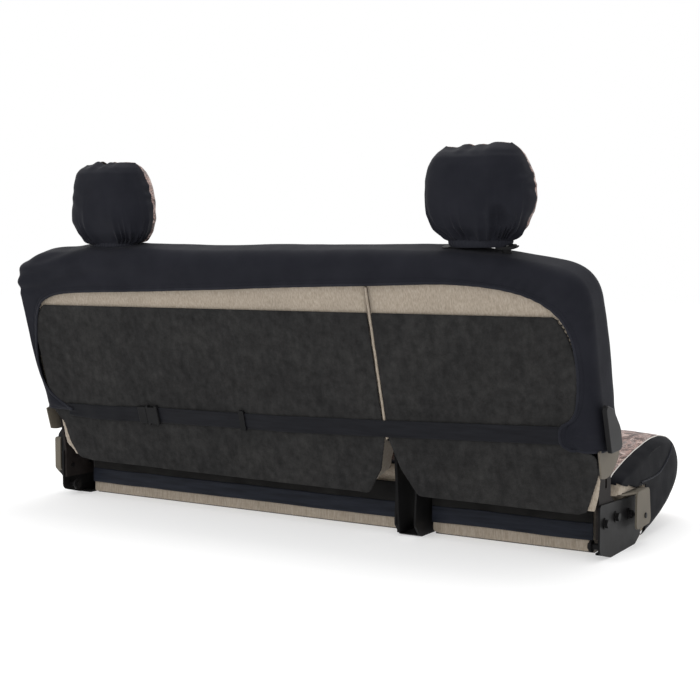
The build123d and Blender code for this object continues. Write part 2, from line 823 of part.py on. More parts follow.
def cushion(name):
    """Foam, skin and the two cover panels of one cushion."""
    side = SIDES[name]
    outer = cushion_block(name, 0)
    core = cushion_block(name, SKIN)
    tray = pan(name)
    with BuildPart() as foam:
        add(core)
        add(tray, mode=Mode.SUBTRACT)
    save(foam.part, f"cushion_foam_{name}")
    with BuildPart() as skin:
        add(outer)
        add(core, mode=Mode.SUBTRACT)
        add(tray, mode=Mode.SUBTRACT)
    save(skin.part, f"cushion_upholstery_{name}")

    with BuildPart() as shell:
        add(cushion_block(name, -COVER))
        add(outer, mode=Mode.SUBTRACT)
        add(cover_region(name), mode=Mode.INTERSECT)
    inner_seam = CUSHION_INNER[name] + side * 14
    outer_seam = side * (CUSHION_HALF - 24)
    with BuildPart() as middle:
        with BuildSketch(Plane.XY.offset(-10)):
            with Locations(((inner_seam + outer_seam) / 2, -120)):
                Rectangle(abs(outer_seam - inner_seam), 500)
        extrude(amount=300)
        with BuildSketch(side_plane(-760)):
            with BuildLine():
                Polyline((160, 0), (160, 128), (-300, 128), (-300, 60), (-420, 60), (-420, 0), close=True)
            make_face()
        extrude(amount=1520, mode=Mode.SUBTRACT)
    with BuildPart() as top:
        add(shell.part)
        add(middle.part, mode=Mode.INTERSECT)
    save(top.part, f"cushion_cover_top_{name}")
    with BuildPart() as skirt:
        add(shell.part)
        add(middle.part, mode=Mode.SUBTRACT)
    save(skirt.part, f"cushion_cover_skirt_{name}")


def rear_strips(low, high, thick):
    """Strip along the rear of both cushions between two heights."""
    with BuildPart() as strips:
        for name, side in SIDES.items():
            inner, outer = CUSHION_INNER[name], side * CUSHION_LOW_HALF
            with BuildSketch(Plane.XY.offset(low)):
                with Locations(((inner + outer) / 2, BAR_REAR_Y + thick / 2)):
                    Rectangle(abs(outer - inner), thick)
            extrude(amount=high - low)
    return strips.part


# ================================================================ base
def side_bracket(name):
    """Steel side bracket: upright plate, foot flange and rear edge flange."""
    side = SIDES[name]
    outline = [
        (BRACKET_FRONT, 14), (0, 0), (140, 0), (BRACKET_REAR, 16), (BRACKET_REAR, BRACKET_HEIGHT),
        (BRACKET_FRONT, BRACKET_HEIGHT - 12),
    ]
    with BuildPart() as bracket:
        with BuildSketch(side_plane(across(side, BRACKET_X, PLATE))):
            with BuildLine():
                FilletPolyline(*outline, radius=[4, 20, 40, 16, 6, 10], close=True)
            make_face()
            with Locations(*BOLT_SPOTS):
                Circle(BOLT_RADIUS, mode=Mode.SUBTRACT)
        extrude(amount=PLATE)
        with BuildSketch():
            with Locations((side * FLOOR_HOLE_X, sum(FLOOR_HOLES_Y) / 2)):
                Rectangle(2 * (BRACKET_X - FLOOR_HOLE_X), FOOT_LENGTH)
            with Locations(*[(side * FLOOR_HOLE_X, y) for y in FLOOR_HOLES_Y]):
                Circle(FLOOR_HOLE_RADIUS, mode=Mode.SUBTRACT)
        extrude(amount=PLATE)
    return bracket.part


def carrier():
    """Dark moulded carrier bolted over the outside of the left bracket."""
    outline = [
        (40, 14), (140, 14), (190, 52), (190, 146), (176, 160), (112, 160), (112, 106), (40, 106),
    ]
    with BuildPart() as moulding:
        with BuildSketch(side_plane(BRACKET_X + PLATE)):
            with BuildLine():
                FilletPolyline(*outline, radius=[8, 26, 40, 12, 10, 10, 8, 10], close=True)
            make_face()
        extrude(amount=22)
        with BuildSketch(side_plane(BRACKET_X + PLATE)):
            with Locations(*BOLT_SPOTS):
                Circle(13)
        extrude(amount=10, mode=Mode.SUBTRACT)
    return moulding.part


def shield_insert():
    """Beige cap over the middle of the left bracket's carrier."""
    rim = [(52, 46), (176, 46), (194, 64), (194, 140), (116, 140), (116, 98), (52, 98)]
    with BuildPart() as cap:
        with BuildSketch(side_plane(BRACKET_X + PLATE + 12)):
            with BuildLine():
                FilletPolyline(*rim, radius=[6, 16, 10, 6, 6, 6, 6], close=True)
            make_face()
        extrude(amount=20)
        add(carrier(), mode=Mode.SUBTRACT)
        outer = cap.faces().sort_by(Axis.X)[-1]
        fillet(outer.edges(), radius=5)
    return cap.part


CAP_OUT = 704
CAP_TOP = 114
CAP_FACE = [(-38, 40), (50, 38), (48, CAP_TOP), (-26, CAP_TOP)]
CAP_FLANGE = [(-CAP_OUT, -16), (-CAP_OUT, 38), (-684, 84), (-672, 84), (-672, -16)]
CAP_SCREW = (-2, 60)


def bracket_cap():
    """Beige L-shaped cap on the front end of the right bracket."""
    with BuildPart() as cap:
        with BuildSketch(side_plane(-CAP_OUT)):
            with BuildLine():
                FilletPolyline(*CAP_FACE, radius=[12, 12, 10, 10], close=True)
            make_face()
            with Locations(CAP_SCREW):
                Circle(3.2, mode=Mode.SUBTRACT)
        extrude(amount=PLATE)
        with BuildSketch(Plane.XY.offset(CAP_TOP - PLATE)):
            with BuildLine():
                FilletPolyline(*CAP_FLANGE, radius=[6, 10, 4, 0, 0], close=True)
            make_face()
        extrude(amount=PLATE)
    return cap.part


def fasteners():
    """Flange bolts of both side brackets and the cap's screw, as one group."""
    with BuildPart() as bolts:
        for side in SIDES.values():
            face = side * (BRACKET_X + PLATE)
            with BuildSketch(side_plane(face)):
                with Locations(*BOLT_SPOTS):
                    Circle(11)
            extrude(amount=side * 2)
            with BuildSketch(side_plane(face + side * 2)):
                with Locations(*BOLT_SPOTS):
                    RegularPolygon(8.5, 6)
            extrude(amount=side * 6)
            with BuildSketch(side_plane(side * (LOWER_ARM_X - 2))):
                with Locations(*BOLT_SPOTS):
                    Circle(BOLT_RADIUS)
            extrude(amount=side * (BRACKET_X + PLATE - LOWER_ARM_X + 2))
        with BuildSketch(side_plane(PLATE - CAP_OUT)):
            with Locations(CAP_SCREW):
                Circle(3)
        extrude(amount=CAP_OUT - PLATE - BRACKET_X - PLATE - 0.2)
        with BuildSketch(side_plane(-CAP_OUT)):
            with Locations(CAP_SCREW):
                Circle(5.5)
        extrude(amount=-2.2)
    return bolts.part


def lower_arms():
    """Fixed recliner arms inside the side brackets."""
    with BuildPart() as arms:
        for side in SIDES.values():
            foot = [(196, 112), (196, 44), (98, 44), (104, 100), (150, 128)]
            with BuildSketch(side_plane(across(side, LOWER_ARM_X, ARM_THICK))):
                with Locations((HINGE.Y, HINGE.Z)):
                    Circle(34)
                with Locations((165, 130)):
                    Rectangle(62, 40)
                make_hull()
                with BuildLine():
                    Polyline(*foot, close=True)
                make_face()
                with Locations((HINGE.Y, HINGE.Z)):
                    Circle(PIN_RADIUS, mode=Mode.SUBTRACT)
                with Locations((160, 150)):
                    Rectangle(9, 26, mode=Mode.SUBTRACT)
                with Locations(*BOLT_SPOTS[:2]):
                    Circle(BOLT_RADIUS, mode=Mode.SUBTRACT)
            extrude(amount=ARM_THICK)
    return arms.part


def hinge_pins():
    """Two outboard recliner pins and the centre pin, as one group."""
    with BuildPart() as pins:
        for side in SIDES.values():
            with BuildSketch(side_plane(side * (UPPER_ARM_X - 1))):
                with Locations((HINGE.Y, HINGE.Z)):
                    Circle(PIN_RADIUS)
            extrude(amount=side * (LOWER_ARM_X + ARM_THICK - UPPER_ARM_X + 1))
            with BuildSketch(side_plane(side * (LOWER_ARM_X + ARM_THICK))):
                with Locations((HINGE.Y, HINGE.Z)):
                    Circle(14)
            extrude(amount=side * 4)
        with BuildSketch(side_plane(SPLIT_X - 20)):
            with Locations((HINGE.Y, HINGE.Z)):
                Circle(CENTRE_PIN_RADIUS)
        extrude(amount=40)
    return pins.part


def centre_bracket():
    """Channel between the cushions with the centre hinge arm welded in."""
    low_x, high_x = CENTRE_CHANNEL
    with BuildPart() as bracket:
        with BuildSketch(side_plane(low_x)):
            with BuildLine():
                FilletPolyline((20, 0), (168, 0), (190, 26), (184, 114), (40, 100), radius=[4, 16, 8, 8, 16],
                               close=True)
            make_face()
        extrude(amount=high_x - low_x)
        with BuildSketch(Plane.XY.offset(PLATE)):
            with Locations(((low_x + high_x) / 2, 100)):
                Rectangle(high_x - low_x - 2 * PLATE, 240)
        extrude(amount=200, mode=Mode.SUBTRACT)
        with BuildSketch(side_plane(CENTRE_ARM[0])):
            with Locations((HINGE.Y, HINGE.Z)):
                Circle(22)
            with Locations((164, 60)):
                Rectangle(42, 104)
            make_hull()
            with Locations((HINGE.Y, HINGE.Z)):
                Circle(CENTRE_PIN_RADIUS, mode=Mode.SUBTRACT)
        extrude(amount=CENTRE_ARM[1] - CENTRE_ARM[0])
    return bracket.part


def floor_latches():
    """Bright latch rods with end rings at the rear foot of both brackets."""
    with BuildPart() as rods:
        for side in SIDES.values():
            with BuildSketch(side_plane(side * 652)):
                with Locations((176, 26)):
                    Circle(6)
            extrude(amount=side * (BRACKET_X - 652))
            with BuildSketch(side_plane(side * 656)):
                with Locations((176, 26)):
                    Circle(12)
            extrude(amount=side * 5)
    return rods.part


# ================================================================ build everything
cover_wrap = backrest_cover()
for half_name in SIDES:
    backrest_half(half_name)
    save(back_carpet(half_name, cover_wrap), f"back_carpet_{half_name}")
    save(side_trim(SIDES[half_name]), f"recliner_trim_{half_name}")
    save(recliner_lever(half_name), f"recliner_lever_{half_name}")
    headrest(half_name)
    cushion(half_name)
    save(pan(half_name), f"cushion_pan_{half_name}")
    save(side_bracket(half_name), f"side_bracket_{half_name}")
save(split_piping(), "split_piping")
rear_strap()
save(rear_strips(28, 60, 4), "cushion_hem_bands")
save(rear_strips(60, 102, 2), "cushion_rear_flaps")
save(carrier(), "shield_carrier")
save(lower_arms(), "recliner_lower_arms")
save(hinge_pins(), "hinge_pins")
save(centre_bracket(), "centre_bracket")
save(fasteners(), "base_fasteners")
save(floor_latches(), "floor_latches")
save(bracket_cap(), "bracket_cap")
save(shield_insert(), "shield_insert")
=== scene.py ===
"""Visual model of a split bench seat wearing a fitted cover set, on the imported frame.

Every soft piece is built here from curves and grids in the frame's own metres, with procedural
fabric, carpet, plastic and steel.  The hard pieces keep their CAD shape and get a material.
"""

import math

import bmesh
import bpy
import numpy as np
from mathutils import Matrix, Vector
from mathutils.bvhtree import BVHTree


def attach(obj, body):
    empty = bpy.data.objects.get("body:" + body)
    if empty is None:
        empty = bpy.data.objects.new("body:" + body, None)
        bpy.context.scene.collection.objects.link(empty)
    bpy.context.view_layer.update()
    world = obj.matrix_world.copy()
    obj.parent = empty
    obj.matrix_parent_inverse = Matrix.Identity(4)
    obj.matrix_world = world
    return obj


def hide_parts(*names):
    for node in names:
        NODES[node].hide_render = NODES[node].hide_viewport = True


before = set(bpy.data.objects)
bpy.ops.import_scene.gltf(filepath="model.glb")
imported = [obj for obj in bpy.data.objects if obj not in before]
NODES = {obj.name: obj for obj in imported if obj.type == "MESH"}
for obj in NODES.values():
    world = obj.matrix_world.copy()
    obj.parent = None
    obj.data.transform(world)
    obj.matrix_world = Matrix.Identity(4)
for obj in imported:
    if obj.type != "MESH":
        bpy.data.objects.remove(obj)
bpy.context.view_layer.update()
MM = 0.001

# ---------------------------------------------------------------- places on the seat
LEAN = math.radians(15.8)
SIN, COS = math.sin(LEAN), math.cos(LEAN)
FOOT_Y, FOOT_Z = 209.0, 98.0
SPLIT_X = -242.0
HEADS = {"left": 423.0, "right": -475.0}
HEAD_Y, HEAD_Z, HEAD_LEAN = 289.6, 606.0, math.radians(5)


def back(x, s, n):
    """Points of the backrest: across, up its rear face, and in front of it, all in mm."""
    x, s, n = np.broadcast_arrays(*[np.asarray(v, float) for v in (x, s, n)])
    return np.stack([x, FOOT_Y + s * SIN - n * COS, FOOT_Z + s * COS + n * SIN], axis=-1) * MM


def head(side, a, b, c):
    """Points of a headrest: across, up and to the rear of its bottom centre, in mm."""
    a, b, c = np.broadcast_arrays(*[np.asarray(v, float) for v in (a, b, c)])
    cos, sin = math.cos(HEAD_LEAN), math.sin(HEAD_LEAN)
    return np.stack([HEADS[side] + a, HEAD_Y + c * cos + b * sin, HEAD_Z + b * cos - c * sin],
                    axis=-1) * MM


# ---------------------------------------------------------------- curves, noise and meshes
def chaikin(points, rounds=4, closed=False):
    """Corner cutting: a smooth line through the middle of each run of points."""
    points = np.asarray(points, float)
    for _ in range(rounds):
        after = np.roll(points, -1, axis=0) if closed else points[1:]
        before = points if closed else points[:-1]
        cut = np.stack([0.75 * before + 0.25 * after, 0.25 * before + 0.75 * after], axis=1)
        cut = cut.reshape(-1, points.shape[1])
        points = cut if closed else np.vstack([points[:1], cut, points[-1:]])
    return points


def along(points):
    """Distance along a line to each of its points."""
    return np.concatenate([[0], np.cumsum(np.linalg.norm(np.diff(points, axis=0), axis=1))])


def resample(points, count):
    """The line again with count points, evenly spaced."""
    at = along(points)
    want = np.linspace(0, at[-1], count)
    return np.stack([np.interp(want, at, points[:, k]) for k in range(points.shape[1])], axis=1)


def waves(p, seed, length, count=9):
    """Smooth noise between about -1 and 1 at points p, with features of about that length."""
    rng = np.random.default_rng(seed)
    total = np.zeros(p.shape[:-1])
    for _ in range(count):
        direction = rng.normal(size=p.shape[-1])
        direction *= 2 * math.pi / (length * rng.uniform(0.7, 1.6)) / np.linalg.norm(direction)
        total += np.sin(p @ direction + rng.uniform(0, 2 * math.pi))
    return total / math.sqrt(count) * 0.9


def step(low, high, v):
    """0 below low, 1 above high, smooth between."""
    t = np.clip((v - low) / (high - low), 0, 1)
    return t * t * (3 - 2 * t)


def bump(v, centre, width):
    return np.exp(-(((v - centre) / width) ** 2))


def grid_normals(p):
    across, up = np.gradient(p, axis=0), np.gradient(p, axis=1)
    n = np.cross(across, up)
    return n / np.maximum(np.linalg.norm(n, axis=-1, keepdims=True), 1e-12)


def add_mesh(name, verts, faces, material, smooth=True):
    mesh = bpy.data.meshes.new(name)
    mesh.from_pydata([tuple(v) for v in verts], [], [tuple(f) for f in faces])
    mesh.validate()
    mesh.materials.append(material)
    obj = bpy.data.objects.new(name, mesh)
    bpy.context.scene.collection.objects.link(obj)
    clean = bmesh.new()
    clean.from_mesh(mesh)
    bmesh.ops.remove_doubles(clean, verts=clean.verts, dist=1e-6)
    bmesh.ops.recalc_face_normals(clean, faces=clean.faces)
    clean.to_mesh(mesh)
    clean.free()
    if smooth:
        mesh.shade_smooth()
    return obj


def grid_faces(rows, cols, wrap_rows=False, wrap_cols=False, start=0):
    """Quads of a grid of rows by cols points, joined round where asked."""
    r = np.arange(rows if wrap_rows else rows - 1)
    c = np.arange(cols if wrap_cols else cols - 1)
    r, c = [v.ravel() for v in np.meshgrid(r, c, indexing="ij")]
    nr, nc = (r + 1) % rows, (c + 1) % cols
    return np.stack([r * cols + c, nr * cols + c, nr * cols + nc, r * cols + nc], axis=1) + start


def sheet_mesh(name, p, material, thick=0.0, wrap_rows=False):
    """A grid of points as cloth; thick, in mm, gives it a back and a rim."""
    rows, cols = p.shape[:2]
    obj = add_mesh(name, p.reshape(-1, 3), grid_faces(rows, cols, wrap_rows), material)
    if thick:
        solid = obj.modifiers.new("thickness", "SOLIDIFY")
        solid.thickness = thick * MM
        solid.offset = 0
        solid.use_rim = True
    return obj


def tube(name, line, radius, material, flat=1.0, up=None, sides=12, closed=False):
    """A round or flattened tube along a line, both in metres; up is its wide direction."""
    ahead = np.gradient(line, axis=0)
    if closed:
        ahead = np.roll(line, -1, axis=0) - np.roll(line, 1, axis=0)
    ahead /= np.linalg.norm(ahead, axis=1, keepdims=True)
    up = np.broadcast_to(np.array([0, 0, 1.0]) if up is None else up, line.shape)
    side = np.cross(ahead, up)
    side /= np.maximum(np.linalg.norm(side, axis=1, keepdims=True), 1e-9)
    over = np.cross(side, ahead)
    angle = np.linspace(0, 2 * math.pi, sides, endpoint=False)
    ring = (side[:, None] * np.cos(angle)[None, :, None] * flat
            + over[:, None] * np.sin(angle)[None, :, None]) * radius
    p = line[:, None] + ring
    faces = grid_faces(len(line), sides, closed, True)
    obj = add_mesh(name, p.reshape(-1, 3), faces, material)
    if not closed:
        cap = bmesh.new()
        cap.from_mesh(obj.data)
        bmesh.ops.holes_fill(cap, edges=[e for e in cap.edges if e.is_boundary], sides=sides)
        cap.to_mesh(obj.data)
        cap.free()
    return obj


# ---------------------------------------------------------------- materials
def links_of(material):
    tree = material.node_tree
    return tree, tree.nodes, tree.links


def new_material(name, color, rough, sheen=0.0, metal=0.0, coat=0.0, specular=0.5):
    """A Principled material with its uniform values set on the sockets."""
    material = bpy.data.materials.new(name)
    material.use_nodes = True
    shader = material.node_tree.nodes["Principled BSDF"]
    shader.inputs["Base Color"].default_value = (*color, 1)
    shader.inputs["Roughness"].default_value = rough
    shader.inputs["Metallic"].default_value = metal
    shader.inputs["Specular IOR Level"].default_value = specular
    shader.inputs["Sheen Weight"].default_value = sheen
    shader.inputs["Sheen Roughness"].default_value = 0.45
    shader.inputs["Coat Weight"].default_value = coat
    return material


def place(nodes, links, scale=(1, 1, 1), turn=(0, 0, 0)):
    """Object coordinates through a mapping."""
    coords = nodes.new("ShaderNodeTexCoord")
    mapping = nodes.new("ShaderNodeMapping")
    mapping.inputs["Scale"].default_value = scale
    mapping.inputs["Rotation"].default_value = turn
    links.new(coords.outputs["Object"], mapping.inputs["Vector"])
    return mapping.outputs["Vector"]


def noise(nodes, links, where, scale, detail=3.0, rough=0.55, distort=0.0):
    texture = nodes.new("ShaderNodeTexNoise")
    texture.inputs["Scale"].default_value = scale
    texture.inputs["Detail"].default_value = detail
    texture.inputs["Roughness"].default_value = rough
    texture.inputs["Distortion"].default_value = distort
    links.new(where, texture.inputs["Vector"])
    return texture.outputs["Fac"]


def wave(nodes, links, where, scale, axis="X", distort=0.0, shape="SIN"):
    texture = nodes.new("ShaderNodeTexWave")
    texture.bands_direction = axis
    texture.wave_profile = shape
    texture.inputs["Scale"].default_value = scale
    texture.inputs["Distortion"].default_value = distort
    links.new(where, texture.inputs["Vector"])
    return texture.outputs["Fac"]


def ramp(nodes, links, fac, stops, mode="LINEAR"):
    ramped = nodes.new("ShaderNodeValToRGB")
    ramped.color_ramp.interpolation = mode
    elements = ramped.color_ramp.elements
    while len(elements) < len(stops):
        elements.new(0.5)
    for element, (at, color) in zip(elements, stops):
        element.position = at
        element.color = (*color, 1) if len(color) == 3 else color
    links.new(fac, ramped.inputs["Fac"])
    return ramped.outputs["Color"]


def blend(nodes, links, kind, fac, a, b):
    mix = nodes.new("ShaderNodeMix")
    mix.data_type = "RGBA"
    mix.blend_type = kind
    for socket, value in ((mix.inputs[0], fac), (mix.inputs[6], a), (mix.inputs[7], b)):
        if isinstance(value, (int, float)):
            socket.default_value = value
        elif isinstance(value, tuple):
            socket.default_value = (*value, 1)
        else:
            links.new(value, socket)
    return mix.outputs[2]


def add_bumps(material, heights):
    """Bump maps one after another; each is (height output, strength, distance in mm)."""
    _, nodes, links = links_of(material)
    shader = nodes["Principled BSDF"]
    last = None
    for height, strength, distance in heights:
        bumped = nodes.new("ShaderNodeBump")
        bumped.inputs["Strength"].default_value = strength
        bumped.inputs["Distance"].default_value = distance * MM
        links.new(height, bumped.inputs["Height"])
        if last:
            links.new(last, bumped.inputs["Normal"])
        last = bumped.outputs["Normal"]
    links.new(last, shader.inputs["Normal"])


def set_color(material, output):
    material.node_tree.links.new(output, material.node_tree.nodes["Principled BSDF"].inputs["Base Color"])


def set_rough(material, fac, low, high):
    _, nodes, links = links_of(material)
    spread = nodes.new("ShaderNodeMapRange")
    spread.inputs["To Min"].default_value = low
    spread.inputs["To Max"].default_value = high
    links.new(fac, spread.inputs["Value"])
    links.new(spread.outputs["Result"], nodes["Principled BSDF"].inputs["Roughness"])


def knit(name, color, light, rough, sheen, pitch=1400):
    """Fine stretch knit: two crossing ribs, soft mottling and a light nap."""
    material = new_material(name, color, rough, sheen, specular=0.04)
    _, nodes, links = links_of(material)
    where = place(nodes, links)
    cloud = noise(nodes, links, where, 14, 4)
    set_color(material, ramp(nodes, links, cloud, [(0.3, color), (0.75, light)]))
    set_rough(material, noise(nodes, links, where, 60, 3), rough - 0.06, rough + 0.08)
    fine = noise(nodes, links, where, pitch, 2)
    rib = wave(nodes, links, where, pitch * 0.45, "Z")
    add_bumps(material, [(rib, 0.12, 0.15), (fine, 0.25, 0.25), (cloud, 0.25, 1.2)])
    return material


def carpet_material():
    """Needle-punched carpet: mottled charcoal with faint upright streaks and short fibres."""
    material = new_material("carpet", (0.03, 0.03, 0.03), 0.95, sheen=0.03, specular=0.04)
    _, nodes, links = links_of(material)
    where = place(nodes, links)
    streak_place = place(nodes, links, scale=(1, 1, 0.12))
    fibres = noise(nodes, links, where, 900, 4, 0.7)
    mottle = noise(nodes, links, where, 55, 5, 0.65)
    broad = noise(nodes, links, where, 7, 3)
    streaks = noise(nodes, links, streak_place, 60, 4, 0.6)
    base = ramp(nodes, links, mottle, [(0.28, (0.0165, 0.0164, 0.0166)), (0.75, (0.0335, 0.0333, 0.0335))])
    base = blend(nodes, links, "MULTIPLY", 0.55, base,
                 ramp(nodes, links, streaks, [(0.3, (0.62, 0.62, 0.62)), (0.7, (1.25, 1.23, 1.2))]))
    base = blend(nodes, links, "MULTIPLY", 0.5, base,
                 ramp(nodes, links, broad, [(0.35, (0.75, 0.75, 0.76)), (0.7, (1.2, 1.18, 1.15))]))
    base = blend(nodes, links, "MULTIPLY", 0.7, base,
                 ramp(nodes, links, fibres, [(0.3, (0.5, 0.5, 0.5)), (0.72, (1.5, 1.5, 1.5))]))
    set_color(material, base)
    add_bumps(material, [(mottle, 0.35, 1.0), (fibres, 0.6, 0.8), (streaks, 0.2, 0.8)])
    return material


def woven_material(name, dark, light, pitch=520):
    """Upright woven seat cloth with a fine vertical thread."""
    material = new_material(name, light, 0.85, sheen=0.15, specular=0.25)
    _, nodes, links = links_of(material)
    where = place(nodes, links)
    tall = place(nodes, links, scale=(1, 1, 0.15))
    threads = wave(nodes, links, where, pitch, "X", 0.6)
    fleck = noise(nodes, links, tall, 420, 3, 0.6)
    cloud = noise(nodes, links, where, 10, 3)
    base = ramp(nodes, links, fleck, [(0.3, dark), (0.7, light)])
    base = blend(nodes, links, "MULTIPLY", 0.35, base,
                 ramp(nodes, links, cloud, [(0.3, (0.8, 0.8, 0.8)), (0.7, (1.15, 1.15, 1.15))]))
    base = blend(nodes, links, "MULTIPLY", 0.3, base,
                 ramp(nodes, links, threads, [(0.1, (0.7, 0.7, 0.7)), (0.8, (1.1, 1.1, 1.1))]))
    set_color(material, base)
    add_bumps(material, [(threads, 0.35, 0.3), (fleck, 0.3, 0.3), (cloud, 0.2, 1.5)])
    return material


def print_material():
    """Generic woodland print: bark streaks, leaf blotches and twigs over pinkish tan."""
    material = new_material("printed_cloth", (0.3, 0.2, 0.16), 0.8, sheen=0.2, specular=0.25)
    _, nodes, links = links_of(material)
    where = place(nodes, links)
    bark_place = place(nodes, links, scale=(1, 0.45, 1), turn=(0.2, 0.3, 0.5))
    tan, brown = (0.34, 0.225, 0.195), (0.07, 0.040, 0.033)
    grey, dark = (0.23, 0.195, 0.185), (0.012, 0.008, 0.008)
    bark = noise(nodes, links, bark_place, 26, 8, 0.68, 1.6)
    base = ramp(nodes, links, bark, [(0.33, dark), (0.42, brown), (0.5, tan), (0.6, grey), (0.7, tan)])
    leaves = nodes.new("ShaderNodeTexVoronoi")
    leaves.inputs["Scale"].default_value = 34
    leaves.inputs["Randomness"].default_value = 1.0
    links.new(where, leaves.inputs["Vector"])
    spots = ramp(nodes, links, leaves.outputs["Distance"], [(0.3, (1, 1, 1)), (0.38, (0, 0, 0))])
    tint = ramp(nodes, links, noise(nodes, links, where, 30, 2),
                [(0.35, brown), (0.5, (0.46, 0.35, 0.31)), (0.65, (0.12, 0.075, 0.062))], "CONSTANT")
    base = blend(nodes, links, "MIX", spots, base, tint)
    twig = ramp(nodes, links, noise(nodes, links, bark_place, 60, 2, 0.5, 3.0),
                [(0.46, (0, 0, 0)), (0.49, (1, 1, 1)), (0.51, (1, 1, 1)), (0.54, (0, 0, 0))])
    base = blend(nodes, links, "MIX", twig, base, dark)
    set_color(material, base)
    fine = noise(nodes, links, where, 1300, 2)
    add_bumps(material, [(fine, 0.25, 0.2), (noise(nodes, links, where, 12, 3), 0.25, 1.2)])
    return material


def band_material(name, color, light, rough):
    """Woven band with a satin face: ribs along its length and a soft sheen."""
    material = new_material(name, color, rough, sheen=0.02, specular=0.08)
    _, nodes, links = links_of(material)
    where = place(nodes, links)
    long_place = place(nodes, links, scale=(0.08, 1, 1))
    ribs = wave(nodes, links, where, 330, "Z", 0.3)
    streak = noise(nodes, links, long_place, 160, 3)
    set_color(material, ramp(nodes, links, streak, [(0.3, color), (0.72, light)]))
    set_rough(material, streak, rough - 0.08, rough + 0.1)
    add_bumps(material, [(ribs, 0.25, 0.25), (noise(nodes, links, where, 1500, 2), 0.15, 0.15)])
    return material


def plastic_material(name, color, rough, grain=900, coat=0.0):
    """Moulded plastic with a fine grain and slightly rubbed patches."""
    material = new_material(name, color, rough, coat=coat, specular=0.1)
    _, nodes, links = links_of(material)
    where = place(nodes, links)
    grains = nodes.new("ShaderNodeTexVoronoi")
    grains.inputs["Scale"].default_value = grain
    links.new(where, grains.inputs["Vector"])
    patch = noise(nodes, links, where, 18, 4)
    lighter = tuple(min(1, c * 1.22 + 0.004) for c in color)
    set_color(material, ramp(nodes, links, patch, [(0.35, color), (0.8, lighter)]))
    set_rough(material, patch, rough - 0.07, rough + 0.1)
    add_bumps(material, [(grains.outputs["Distance"], 0.2, 0.15), (patch, 0.08, 0.6)])
    return material


def steel_material(name, color, rough, metal, wear):
    """Painted or plated steel with slight orange peel, dust and rubbed patches."""
    material = new_material(name, color, rough, metal=metal, specular=0.08)
    _, nodes, links = links_of(material)
    where = place(nodes, links)
    dust = noise(nodes, links, where, 22, 6, 0.65)
    speck = noise(nodes, links, where, 260, 3, 0.7)
    base = ramp(nodes, links, dust, [(0.35, color), (0.78, wear)])
    base = blend(nodes, links, "MULTIPLY", 0.35, base,
                 ramp(nodes, links, speck, [(0.35, (0.6, 0.6, 0.6)), (0.7, (1.3, 1.3, 1.3))]))
    set_color(material, base)
    set_rough(material, dust, rough - 0.1, rough + 0.15)
    add_bumps(material, [(speck, 0.08, 0.25), (dust, 0.1, 0.6)])
    return material


M = {
    "cloth": knit("black_cloth", (0.0105, 0.0110, 0.0150), (0.0150, 0.0155, 0.0205), 0.62, 0.03),
    # skirt_cloth_painted_shade is the black cover cloth at 0.4 of its colour: painted shade for the cushion
    # sides
    "skirt": knit("skirt_cloth_painted_shade", (0.0042, 0.0044, 0.0060), (0.0070, 0.0073, 0.0095), 0.66, 0.02),
    "hem": knit("hem_elastic", (0.0125, 0.013, 0.0175), (0.020, 0.021, 0.027), 0.55, 0.05, 900),
    "print": print_material(),
    "carpet": carpet_material(),
    "beige": woven_material("beige_cloth", (0.26, 0.215, 0.165), (0.40, 0.345, 0.28)),
    "band": band_material("satin_band", (0.0062, 0.0064, 0.0085), (0.0110, 0.0115, 0.0145), 0.5),
    "gloss": band_material("gloss_band", (0.010, 0.0115, 0.0165), (0.019, 0.022, 0.031), 0.36),
    "webbing": band_material("webbing", (0.005, 0.0052, 0.0068), (0.0095, 0.010, 0.0125), 0.6),
    "felt": knit("felt", (0.009, 0.0088, 0.009), (0.019, 0.0185, 0.018), 0.9, 0.1, 700),
    "plastic": plastic_material("black_plastic", (0.007, 0.007, 0.0075), 0.42),
    "tan": plastic_material("beige_plastic", (0.118, 0.104, 0.083), 0.55),
    "steel": steel_material("black_steel", (0.0045, 0.0045, 0.005), 0.42, 0.0, (0.012, 0.0115, 0.0115)),
    "arm": steel_material("arm_steel", (0.010, 0.008, 0.0075), 0.55, 0.0, (0.026, 0.022, 0.021)),
    "grey": steel_material("grey_steel", (0.05, 0.05, 0.05), 0.5, 0.3, (0.10, 0.10, 0.10)),
    "bright": steel_material("bright_steel", (0.30, 0.30, 0.30), 0.35, 1.0, (0.45, 0.45, 0.44)),
    "foam": knit("foam", (0.5, 0.44, 0.3), (0.62, 0.56, 0.4), 0.9, 0.1, 500),
    "thread": knit("thread", (0.50, 0.47, 0.44), (0.72, 0.70, 0.66), 0.7, 0.2, 1800),
}
BOTH = ("left", "right")
CAD_LOOKS = {
    "grey": [f"{n}_{s}" for n in ("back_frame", "cushion_pan") for s in BOTH],
    "arm": [f"back_hinge_plates_{s}" for s in BOTH] + ["recliner_lower_arms"],
    "steel": [f"side_bracket_{s}" for s in BOTH] + ["centre_bracket", "base_fasteners", "floor_latches"],
    "bright": ["hinge_pins"] + [f"headrest_posts_{s}" for s in BOTH],
    "plastic": [f"{n}_{s}" for n in ("recliner_lever", "guide_sleeves", "guide_button") for s in BOTH]
    + ["shield_carrier", "buckle_plug", "buckle_socket", "strap_slider"],
    "tan": ["bracket_cap", "shield_insert"] + [f"recliner_trim_{s}" for s in BOTH],
}
for look, names in CAD_LOOKS.items():
    for node_name in names:
        cad = NODES[node_name]
        cad.data.materials.clear()
        cad.data.materials.append(M[look])


def done(obj, body, *nodes, slot=None):
    """Rides a finished piece on its body, in place of CAD nodes if any are named."""
    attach(obj, body)
    if nodes:
        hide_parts(*nodes)
    return obj


